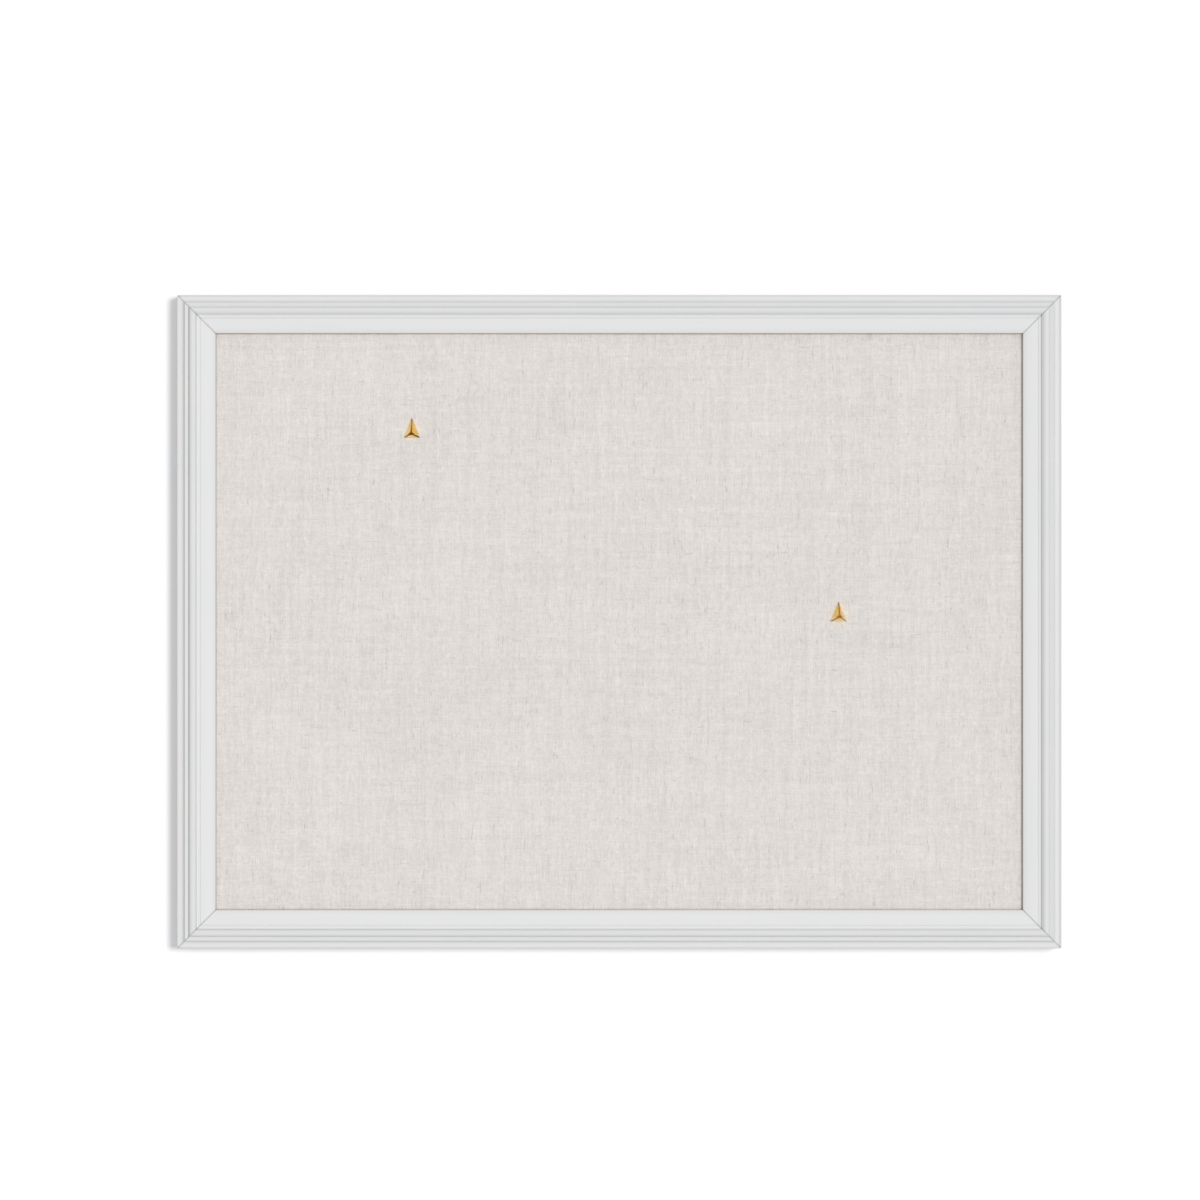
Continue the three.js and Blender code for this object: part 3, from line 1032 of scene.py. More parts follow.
@dataclass(frozen=True, kw_only=True)
class LinenFinish(Finish):
    """Natural linen in a plain weave, with slubs, cloudy patches and dark flecks.

    A ramp here is a distance from the moulding, and how strong the effect is at its two ends.

    Attributes:
        centre: The middle of the opening, across and up.
        opening: The opening's width and height.
        holes: Where needles have gone in, as places across and up.
    """

    name = "natural_linen"
    slot = "linen"

    centre: Span
    opening: Span
    holes: tuple[Span, ...]
    colour: Triple = (0.765, 0.729, 0.701)
    roughness: float = 0.95
    # The strength and the roughness of the sheen.
    sheen: Span = (0.15, 0.6)
    relief: float = 0.05 * MM
    # The distance from thread to thread, and how many threads they wander across and up.
    pitch: float = 0.62 * MM
    wander: Noise = Noise(35.0, detail=2.0)
    wander_reach: Span = (3.0, 2.2)
    # How far the threads differ, and how far painted shade darkens the gap beside a thread's crown.
    warp_amount: float = 0.40
    weft_amount: float = 0.28
    crown_amount: float = 0.05
    crown_rest: float = 0.6
    # For each size of light and dark patch, its pattern and how far they differ.
    unevenness: tuple[tuple[Noise, float], ...] = (
        (Noise(16.0, (1.0, 1.0, 0.8)), 0.06),
        (Noise(90.0), 0.06),
        (Noise(330.0, (1.0, 1.0, 0.7)), 0.15),
        (Noise(600.0), 0.12),
        (Noise(300.0, (1.0, 1.0, 0.04)), 0.11),
        (Noise(300.0, (0.05, 1.0, 1.0)), 0.08),
    )
    # The upright and the level dark fibres: their pattern, and where in it they start and are full.
    flecks: tuple[tuple[Noise, Span], ...] = (
        (Noise(900.0, (1.0, 1.0, 0.16)), (0.69, 0.76)),
        (Noise(880.0, (0.14, 1.0, 1.0)), (0.71, 0.78)),
    )
    fleck: Colour = (0.42, 0.34, 0.27, 1.0)
    fleck_amount: float = 0.32
    # Painted shade against the moulding: what the cloth is multiplied by, in a dark line and a faint shade
    # round it.
    tuck: Triple = (0.64, 0.57, 0.51)
    tuck_line: Ramp = ((0.25 * MM, 1.1 * MM), (0.82, 0.0))
    tuck_wash: Ramp = ((0.5 * MM, 7.0 * MM), (0.06, 0.0))
    # Painted warm shade: what it is multiplied by near the top and bottom rails.
    warmth: Triple = (1.0, 0.98, 0.955)
    warm_edge: Ramp = ((0.8 * MM, 3.5 * MM), (1.0, 0.0))
    # A painted dark spot for the shade inside a needle's hole, and how far from its middle it starts to
    # fade and is gone.
    prick: Colour = (0.05, 0.035, 0.02, 1.0)
    hole_edge: Span = (0.55 * MM, 0.75 * MM)

    def shade(self, place: Signal) -> Inputs:
        """Makes the colour from the weave, its patches and its flecks, then adds painted shade against the
        moulding and a painted dark spot in each needle's hole.

        Args:
            place: The place on the board.

        Returns:
            The shader's inputs.
        """
        across, _, up = place.axes()
        wander = place.noise(self.wander)
        threads = [
            along.math("DIVIDE", self.pitch) + wander * reach
            for along, reach in zip((across, up), self.wander_reach)
        ]
        weave = WeaveGroup.placed(place.bench, {"Across": threads[0], "Up": threads[1]})
        upright, level = [place.noise(pattern).remap(edge) for pattern, edge in self.flecks]
        flecked = upright.larger(level) * self.fleck_amount
        cloth = flecked.mix(self._tone(place, weave).tint(self.colour), self.fleck)
        return {
            # Painted shade against the moulding, and a painted dark spot in each needle's hole.
            "Base Color": self._pricked(self._tucked(cloth, across, up), place),
            "Normal": weave["Height"].bump(self.relief),
            "Roughness": self.roughness,
            "Sheen Weight": self.sheen[0],
            "Sheen Roughness": self.sheen[1],
        }

    def _tone(self, place: Signal, weave: dict[str, Signal]) -> Signal:
        """The tone of the threads and of the patches, with painted shade between the threads.

        Args:
            place: The place on the board.
            weave: The outputs of the weave.

        Returns:
            A tone near 1.
        """
        swings = [
            (weave["Warp"] - 0.5) * self.warp_amount,
            (weave["Weft"] - 0.5) * self.weft_amount,
            # Painted shade: lighter on the crowns of the threads, darker in the gaps.
            (weave["Height"] - self.crown_rest) * self.crown_amount,
        ]
        swings += [(place.noise(pattern) - 0.5) * amount for pattern, amount in self.unevenness]
        return sum(swings, 1.0)

    def _tucked(self, cloth: Signal, across: Signal, up: Signal) -> Signal:
        """The cloth with painted warm shade along the rails, and painted shade in a narrow brown line
        against the moulding.

        Args:
            cloth: The colour so far.
            across: How far right a place lies.
            up: How far up it lies.

        Returns:
            The colour with both.
        """
        from_stile, from_rail = [
            span / 2 - along.apart(centre)
            for along, centre, span in zip((across, up), self.centre, self.opening)
        ]
        gap = from_stile.math("MINIMUM", from_rail)
        # Painted warm shade along the rails, then painted shade in a dark line and a faint wash against the
        # moulding.
        cloth = from_rail.remap(*self.warm_edge).mix(cloth, cloth.stretch(self.warmth))
        dark = gap.remap(*self.tuck_line).larger(gap.remap(*self.tuck_wash))
        return dark.mix(cloth, cloth.stretch(self.tuck))

    def _pricked(self, cloth: Signal, place: Signal) -> Signal:
        """The cloth with a painted dark spot for the shade inside each needle's hole.

        Args:
            cloth: The colour so far.
            place: The place on the board.

        Returns:
            The colour with the painted holes.
        """
        for across, up in self.holes:
            gap = place.stretch(AS_SEEN).measure("DISTANCE", (across, 0.0, up))
            # Each hole is a painted dark spot standing for the shade inside it.
            cloth = gap.remap(self.hole_edge, (1.0, 0.0)).mix(cloth, self.prick)
        return cloth


@dataclass(frozen=True)
class WoodFinish(Finish):
    """Bare wood whose grain runs along the moulding, read from a place on its blank.

    The wood darkens from one height in the pattern of its rings to another, and its fibres vary the
    tone, the roughness and the surface.
    """

    name = "bare_wood"
    attribute = "rail_place"

    pale: Colour = (0.55, 0.40, 0.24, 1.0)
    dark: Colour = (0.36, 0.22, 0.11, 1.0)
    rings: Noise = Noise(160.0, (0.035, 1.0, 1.0), 3.0)
    ring_edge: Span = (0.38, 0.66)
    ring_amount: float = 0.8
    fibres: Noise = Noise(1400.0, (0.035, 1.0, 1.0), 2.0)
    fibre_amount: float = 0.5
    roughness: Span = (0.55, 0.8)
    relief: float = 0.03 * MM

    def shade(self, place: Signal) -> Inputs:
        """Makes the colour from rings and fibres, and the rest from the fibres.

        Args:
            place: The place on the blank.

        Returns:
            The shader's inputs.
        """
        ringed = place.noise(self.rings).remap(self.ring_edge, (0.0, self.ring_amount))
        fibres = place.noise(self.fibres)
        darkness = ringed + (fibres - 0.5) * self.fibre_amount
        return {
            "Base Color": darkness.mix(self.pale, self.dark),
            "Roughness": fibres.remap((0.0, 1.0), self.roughness),
            "Normal": fibres.bump(self.relief),
        }


@dataclass(frozen=True)
class CorkFinish(Finish):
    """Agglomerated cork: packed granules of several browns.

    The glue in the seams between the granules has the darkest brown.
    """

    name = "cork_granules"
    slot = "cork"

    pale: Colour = (0.50, 0.29, 0.13, 1.0)
    dark: Colour = (0.16, 0.075, 0.03, 1.0)
    # How many granules there are to a metre, and how near the edge of one its seam starts.
    granules: float = 420.0
    seam: float = 0.08
    granule_amount: float = 0.6
    roughness: Span = (0.85, 1.0)
    relief: float = 0.1 * MM

    def shade(self, place: Signal) -> Inputs:
        """Makes the colour from the granules and the seams between them.

        Args:
            place: The place on the board.

        Returns:
            The shader's inputs.
        """
        bench, cells = place.bench, {"Vector": place, "Scale": self.granules}
        edges = bench.named("TexVoronoi", cells, feature="DISTANCE_TO_EDGE")["Distance"]
        tint = bench.signals("SeparateColor", {0: bench.named("TexVoronoi", cells)["Color"]})[0]
        granule = (tint * self.granule_amount).mix(self.pale, self.dark)
        return {
            "Base Color": edges.remap((0.0, self.seam), (1.0, 0.0)).mix(granule, self.dark),
            "Roughness": tint.remap((0.0, 1.0), self.roughness),
            "Normal": edges.bump(self.relief),
        }


BARE_WOOD = WoodFinish()
CORK = CorkFinish()
HARDBOARD = GrainedFinish(
    name="tempered_hardboard",
    slot="hardboard",
    colour=(0.22, 0.115, 0.055),
    roughness=0.5,
    grain=1100.0,
    tone_amount=0.7,
    roughness_amount=0.25,
    relief=0.03 * MM,
)
STEEL = GrainedFinish(
    name="bright_steel",
    slot="steel",
    colour=(0.62, 0.62, 0.63),
    roughness=0.32,
    metallic=1.0,
    grain=1800.0,
    tone_amount=0.12,
    roughness_amount=0.25,
    relief=0.004 * MM,
)
NICKEL = GrainedFinish(
    name="nickel_plate",
    slot="nickel_plate",
    colour=(0.70, 0.66, 0.60),
    roughness=0.2,
    metallic=1.0,
    grain=1500.0,
    tone_amount=0.06,
    roughness_amount=0.2,
    relief=0.003 * MM,
)
RUBBER = GrainedFinish(
    name="pale_rubber",
    slot="bumper_rubber",
    colour=(0.60, 0.60, 0.57),
    roughness=0.6,
    grain=2200.0,
    tone_amount=0.08,
    roughness_amount=0.15,
    relief=0.01 * MM,
)


def dress(piece: Piece, finish: Finish, body: str, node: str) -> None:
    """Finishes a new piece, unless it is painted already, and puts it on the model.

    Args:
        piece: The finished mesh, at the origin.
        finish: What it is coated with, which also says the record's material slot.
        body: The body that it moves with.
        node: The node that it stands for.
    """
    if not piece.data.materials:
        finish.coat(piece)
    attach(piece, body)
    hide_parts(node)
    LOG.info("%s stands for %s", piece.name, node)


class SectionLine:
    """The line of a section, drawn from point to point of (distance inward, height forward)."""

    def __init__(self, inward: float, height: float) -> None:
        """Starts at a point."""
        self.points = [Vector((inward, height))]

    def to(self, inward: float, height: float) -> None:
        """Draws straight to a point."""
        self.points.append(Vector((inward, height)))

    def curve(self, pull: Span, end: Span, steps: int) -> None:
        """Draws a curve to an end, drawn out by another point."""
        self.points += bezier((self.points[-1], Vector(pull), Vector(end)), steps)

    def groove(self, width: float, depth: float) -> None:
        """Draws a V-shaped groove, from the height that the line has reached and back to it.

        Args:
            width: How wide the groove is.
            depth: How deep it is.
        """
        start = self.points[-1]
        self.to(start.x + width / 2, start.y - depth)
        self.to(start.x + width, start.y)

    def without_undercuts(self, least: float) -> list[Vector]:
        """The points, each moved inward where it isn't far enough inward of the last.

        Args:
            least: How far is enough.

        Returns:
            The points.
        """
        line = self.points[:1]
        for point in self.points[1:]:
            line.append(Vector((max(point.x, line[-1].x + least), point.y)))
        return line


def height_on(line: list[Vector], inward: float) -> float:
    """How high a section's line is at a distance inward.

    Args:
        line: The line's points, each further inward than the last.
        inward: The distance, up to the last point's.

    Returns:
        The height between the points to each side.
    """
    before, after = next(pair for pair in zip(line, line[1:]) if inward <= pair[1].x)
    share = (inward - before.x) / (after.x - before.x)
    return before.y + (after.y - before.y) * share


@dataclass
class Moulding:
    """The frame: one section of moulding cut to four mitred lengths.

    Widths run inward from the outer edge and heights forward from the back. From the outside in, the
    front has a lip, a cove, a fillet between two grooves, an ovolo with its crown, a step, a scotia, a
    quirk, and a panel that falls to the rounded sight edge.
    """

    width: float = 25.4 * MM
    lip_width: float = 0.7 * MM
    lip_height: float = 16.8 * MM
    lip_round: float = 0.2 * MM
    cove_width: float = 4.1 * MM
    cove_dip: float = 0.7 * MM
    fillet_width: float = 3.1 * MM
    fillet_height: float = 18.8 * MM
    fillet_fall: float = 0.5 * MM
    ovolo_width: float = 5.0 * MM
    ovolo_riser: float = 0.6 * MM
    crown_height: float = 21.3 * MM
    crown_drop: float = 0.9 * MM
    step_drop: float = 1.5 * MM
    scotia_width: float = 2.3 * MM
    scotia_fall: float = 0.5 * MM
    quirk_width: float = 0.45 * MM
    quirk_depth: float = 0.3 * MM
    groove_width: float = 0.55 * MM
    groove_depth: float = 0.25 * MM
    step_groove_depth: float = 0.42 * MM
    sight_height: float = 17.6 * MM
    sight_round: float = 0.5 * MM
    rabbet_width: float = 6.5 * MM
    rabbet_ledge: float = 13.6 * MM
    mitre_gap: float = 0.03 * MM
    mitre_chamfer: float = 0.3 * MM
    corner_cut: float = 0.7 * MM
    # How far a riser leans, so that no two points of the section lie at the same place inward.
    draft: float = 0.02 * MM
    curve_steps: int = 7
    round_steps: int = 4
    smooth_degrees: float = 26
    # How far apart the four sides lie in the pattern of the paint and the wood.
    side_spacing: float = 1.0

    def paint(self) -> BrushedPaint:
        """The white paint, with painted shade that darkens each outer band of the moulding.

        Returns:
            The finish of the frame's front.
        """
        ovolo_start = self.lip_width + self.cove_width + self.fillet_width
        step_start = ovolo_start + self.ovolo_width
        # The tone of each band is painted shade, darkest on the lip.
        return BrushedPaint(
            bands=(
                (0.0, 0.92),
                (self.lip_width, 0.96),
                (ovolo_start, 0.945),
                (step_start, 0.98),
                (step_start + self.scotia_width, 1.0),
            ),
            corner=(BOARD.size.x / 2, BOARD.size.z / 2),
            centre=(BOARD.centre.x, BOARD.centre.z),
            sight_line=self.width,
            cloth_height=self.rabbet_ledge,
        )

    def front_line(self) -> list[Vector]:
        """The moulding's front in section, from the outer edge to the sight edge.

        Returns:
            Points of (distance inward, height forward), each further inward than the last.
        """
        fillet_start = self.lip_width + self.cove_width
        ovolo_start = fillet_start + self.fillet_width
        step_start = ovolo_start + self.ovolo_width
        quirk_start = step_start + self.scotia_width
        panel_start = quirk_start + self.quirk_width
        sight_start = self.width - self.sight_round
        cove_middle = self.lip_width + self.cove_width / 3
        cove_floor = self.lip_height - self.cove_dip
        fillet_foot = self.fillet_height - self.fillet_fall
        crown = (ovolo_start + step_start) / 2
        crown_end = step_start - self.groove_width
        crown_foot = self.crown_height - self.crown_drop
        scotia_top = crown_foot - self.step_drop
        quirk_top = scotia_top - self.scotia_fall
        sight_foot = self.sight_height - self.sight_round
        steps = self.curve_steps

        line = SectionLine(0, self.lip_height - self.lip_round)
        line.curve((0, self.lip_height), (self.lip_round, self.lip_height), self.round_steps)
        line.to(self.lip_width, self.lip_height)
        line.curve((self.lip_width, cove_floor), (cove_middle, cove_floor), steps)
        line.curve((fillet_start, cove_floor), (fillet_start, self.fillet_height), steps)
        line.groove(self.groove_width, self.groove_depth)
        line.to(ovolo_start - self.groove_width - self.draft, fillet_foot)
        line.groove(self.groove_width, self.groove_depth)
        line.to(ovolo_start, fillet_foot + self.ovolo_riser)
        line.curve((ovolo_start, self.crown_height), (crown, self.crown_height), 2 * steps)
        line.curve(((crown + crown_end) / 2, self.crown_height), (crown_end, crown_foot), steps)
        line.groove(self.groove_width, self.step_groove_depth)
        line.to(step_start + self.draft, scotia_top)
        line.curve((step_start, quirk_top), (quirk_start, quirk_top), steps)
        line.to((quirk_start + panel_start) / 2, quirk_top - self.quirk_depth)
        line.to(panel_start, quirk_top)
        panel_pull = ((panel_start + self.width) / 2, quirk_top)
        line.curve(panel_pull, (sight_start, self.sight_height), 2 * steps)
        line.curve((self.width, self.sight_height), (self.width, sight_foot), self.round_steps)
        return line.without_undercuts(self.draft / 4)

    def blank(self, length: float) -> Piece:
        """A straight length of the moulding, square at its ends.

        A rectangular batten is scored along every line of the section, and then the front of each
        strip is raised to the section's height and the back of the rabbet is cut forward.

        Args:
            length: How long it is.

        Returns:
            The length, centred on X, with its outer back edge on the X axis and its back at y = 0.
        """
        line = self.front_line()
        wide = line[-1].x
        front = -self.rabbet_ledge / 2
        batten = add_block(
            "moulding_blank",
            Box(Vector((-length / 2, front, -wide)), Vector((length / 2, 0, 0))),
        )
        back_width = self.width - self.rabbet_width
        scores = sorted({point.x for point in line[1:-1]} | {back_width, back_width + self.draft})
        near = self.draft / 16
        with editing(batten):
            for score in scores:
                pick_all()
                bpy.ops.mesh.bisect(plane_co=(0, 0, -score), plane_no=(0, 0, 1))
            for column in (0.0, *scores, wide):
                pick(batten, Part.VERT, lambda v: abs(v.co.z + column) < near and v.co.y < front / 2)
                bpy.ops.transform.translate(value=(0, -height_on(line, column) - front, 0))
            pick(batten, Part.VERT, lambda v: -v.co.z > back_width + near and v.co.y > -near)
            bpy.ops.transform.translate(value=(0, -self.rabbet_ledge, 0))
        return batten

    def mitred(self, blank: Piece, place: Place, length: float) -> Piece:
        """One side of the frame, cut from a blank.

        Args:
            blank: The straight length, as long as the longest side or longer.
            place: Which side it is.
            length: Its length along its outer edge.

        Returns:
            The side with both ends mitred, still lying on the X axis.
        """
        side = copy_of(blank, f"moulding_{place.word}", Matrix())
        mitre = (length / 2 - self.mitre_gap, -1)
        corner = (length / 2 - self.corner_cut, 1)
        with editing(side):
            for end, (along, tilt) in product((-1, 1), (mitre, corner)):
                pick_all()
                bpy.ops.mesh.bisect(
                    plane_co=(end * along, 0, 0),
                    plane_no=(end, 0, tilt),
                    use_fill=True,
                    clear_outer=True,
                )
            pick(side, Part.EDGE, self._on_mitred_front)
            round_edges(self.mitre_chamfer, segments=1)
        mark_places(side, "rail_place", Vector((place.value * self.side_spacing, 0, 0)))
        face_outwards(side)
        return side

    def _on_mitred_front(self, edge: bmesh.types.BMEdge) -> bool:
        """Whether an edge lies round a mitre's end face, on the moulding's painted front.

        Args:
            edge: The edge.

        Returns:
            Whether it does.
        """
        slanted = [face for face in edge.link_faces if abs(face.normal.x) > DIAGONAL]
        ends = [face for face in slanted if abs(face.normal.y) < 1 - FACING]
        return len(ends) == 1 and middle(edge).y < -self.rabbet_ledge

    def coat(self, side: Piece, paint: BrushedPaint) -> None:
        """Paints the front and the outer edge of a side on the X axis, and leaves the rest bare.

        Args:
            side: The side.
            paint: The paint.
        """
        paint.coat(side)
        side.data.materials.append(BARE_WOOD.material())
        rabbet_wall = self.rabbet_width - self.width
        for face in side.data.polygons:
            back = face.normal.y > 0.5
            mitre = abs(face.normal.x) > DIAGONAL and face.normal.z < -DIAGONAL
            rabbet = face.center.y > -self.rabbet_ledge and face.center.z < rabbet_wall + NEAR
            face.material_index = int(back or mitre or rabbet)

    def build(self) -> None:
        """Builds the four sides and puts each in its place."""
        spans = {False: BOARD.size.x, True: BOARD.size.z}
        centre = Vector((BOARD.centre.x, Box.of(Place.LEFT.node).high.y, BOARD.centre.z))
        paint = self.paint()
        blank = self.blank(spans[False])
        for place in Place:
            side = self.mitred(blank, place, spans[place.upright])
            self.coat(side, paint)
            outward = Matrix.Translation((0, 0, spans[not place.upright] / 2))
            turn = Matrix.Rotation(place.value * QUARTER_TURN, 4, "Y")
            side.data.transform(Matrix.Translation(centre) @ turn @ outward)
            smooth_by_angle(side, self.smooth_degrees)
            dress(side, paint, "board", place.node)
        discard(blank)


@dataclass
class Panel:
    """The pinning panel: linen wrapped round cork, with hardboard behind."""

    turn_in: float = 22 * MM
    cloth: float = 0.5 * MM
    cloth_columns: int = 60
    cloth_rows: int = 44
    fold_round: float = 0.7 * MM
    # The least angle, in radians, that counts as a fold.
    fold_angle: float = 1.0
    board_bevel: float = 0.35 * MM

    def linen_finish(self) -> LinenFinish:
        """The linen's finish, with a painted dark hole where each of the two pins stands.

        Returns:
            The finish.
        """
        needles = [Box.of(f"{hand.word}_pin_needle").centre for hand in Hand]
        frame_width = 2 * Moulding.width
        return LinenFinish(
            centre=(BOARD.centre.x, BOARD.centre.z),
            opening=(BOARD.size.x - frame_width, BOARD.size.z - frame_width),
            holes=tuple((needle.x, needle.z) for needle in needles),
        )

    def linen(self) -> Piece:
        """The linen, stretched over the front and turned in behind.

        Returns:
            The cloth as one sheet with a thickness, its turned-in hem behind the cork.
        """
        box = Box.of("linen_cover")
        centre = box.centre
        bpy.ops.mesh.primitive_grid_add(
            x_subdivisions=self.cloth_columns,
            y_subdivisions=self.cloth_rows,
            size=1,
            location=(centre.x, box.low.y, centre.z),
            rotation=FACE_FORWARD,
        )
        cloth = named_primitive("linen_cloth", box.size.x, box.size.z)
        hem = (1 - 2 * self.turn_in / box.size.x, 1, 1 - 2 * self.turn_in / box.size.z)
        rim = (box.size.x / 2 - self.cloth, box.size.z / 2 - self.cloth)

        def on_fold(edge: bmesh.types.BMEdge) -> bool:
            """Whether the cloth turns sharply at an edge, at the outside of the panel."""
            place, sharp = middle(edge) - centre, edge.calc_face_angle(0.0) > self.fold_angle
            return sharp and (abs(place.x) > rim[0] or abs(place.z) > rim[1])

        with editing(cloth):
            pick(cloth, Part.EDGE, lambda e: e.is_boundary)
            extrude((0, box.size.y, 0))
            extrude((0, 0, 0))
            resize(hem, (centre.x, box.high.y, centre.z))
            pick(cloth, Part.EDGE, on_fold)
            round_edges(self.fold_round, segments=3)
        skin = cloth.modifiers.new("thickness", "SOLIDIFY")
        skin.thickness = self.cloth
        skin.offset = -1
        apply_modifiers(cloth)
        face_outwards(cloth)
        smooth_by_angle(cloth, degrees=50)
        return cloth

    def backing(self) -> Piece:
        """The hardboard sheet, its sawn edges slightly rounded.

        Returns:
            The sheet.
        """
        sheet = add_block("hardboard_sheet", Box.of("backing_board"))
        with editing(sheet):
            round_all(self.board_bevel, segments=3)
        smooth_by_angle(sheet, degrees=40)
        return sheet

    def build(self) -> None:
        """Builds the linen and the backing, and finishes the cork between them."""
        cloth = self.linen()
        dress(cloth, self.linen_finish(), "board", "linen_cover")
        dress(self.backing(), HARDBOARD, "board", "backing_board")
        cork = frame["nodes"]["cork_panel"]
        CORK.coat(cork)


@dataclass
class PanelPoints:
    """The flat steel points that hold the panel in its rabbet."""

    tip_share: float = 0.18
    tip_narrowing: float = 0.04
    edge_round: float = 0.12 * MM

    def build(self) -> None:
        """Builds a point for each node, its tip towards the moulding."""
        for node in nodes_of("retaining_point"):
            place = next(side for side in Place if f"_{side.word}_" in node)
            plate = add_block(node.replace("retaining", "panel"), Box.of(node))
            self._sharpen(plate, place, Box.of(node))
            smooth_by_angle(plate, degrees=40)
            dress(plate, STEEL, "board", node)

    def _sharpen(self, plate: Piece, place: Place, box: Box) -> None:
        """Draws the outer end of a plate to a point.

        Args:
            plate: The rectangular plate.
            place: Which side of the frame it goes into.
            box: The plate's box.
        """
        across = place.axis
        tip = box.edge(place)
        cut, normal, narrowing = box.centre, Vector((0, 0, 0)), Vector((1, 1, 1))
        cut[across] = tip - place.outward * self.tip_share * box.size[across]
        normal[across] = 1
        narrowing[2 - across] = self.tip_narrowing
        with editing(plate):
            pick_all()
            bpy.ops.mesh.bisect(plane_co=cut, plane_no=normal)
            pick(plate, Part.VERT, lambda v: abs(v.co[across] - tip) < NEAR)
            resize(narrowing, box.centre)
            round_all(self.edge_round, segments=2)


@dataclass
class CornerWedges:
    """The bent steel wedges that pull each mitre together, seen end on in the back."""

    thickness: float = 0.5 * MM
    proud: float = 0.04 * MM
    edge_round: float = 0.06 * MM

    def build(self) -> None:
        """Builds a wedge for each node, its bend towards the board's corner."""
        for node in nodes_of("corner_wedge"):
            wedge = self._wedge(node.replace("corner_wedge", "mitre_wedge"), Box.of(node))
            dress(wedge, STEEL, "board", node)

    def _wedge(self, name: str, box: Box) -> Piece:
        """One wedge, from a heel at its bend that a leg is drawn out of each way.

        Args:
            name: The piece's name.
            box: The node's box.

        Returns:
            The wedge, an angle in plan.
        """
        way = box.centre - BOARD.centre
        across, up = math.copysign(1, way.x), math.copysign(1, way.z)
        bend_x = box.edge(Place.RIGHT if across > 0 else Place.LEFT)
        bend_z = box.edge(Place.TOP if up > 0 else Place.BOTTOM)
        inner_x, inner_z = bend_x - across * self.thickness, bend_z - up * self.thickness
        low = Vector((min(bend_x, inner_x), box.low.y, min(bend_z, inner_z)))
        high = Vector((max(bend_x, inner_x), box.high.y + self.proud, max(bend_z, inner_z)))
        wedge = add_block(name, Box(low, high))
        with editing(wedge):
            pick(wedge, Part.FACE, lambda f: f.normal.x * across < -FACING)
            extrude((across * (self.thickness - box.size.x), 0, 0))
            pick(
                wedge,
                Part.FACE,
                lambda f: f.normal.z * up < -FACING and (f.calc_center_median().x - inner_x) * across > 0,
            )
            extrude((0, 0, up * (self.thickness - box.size.z)))
            round_all(self.edge_round, segments=1)
        return wedge


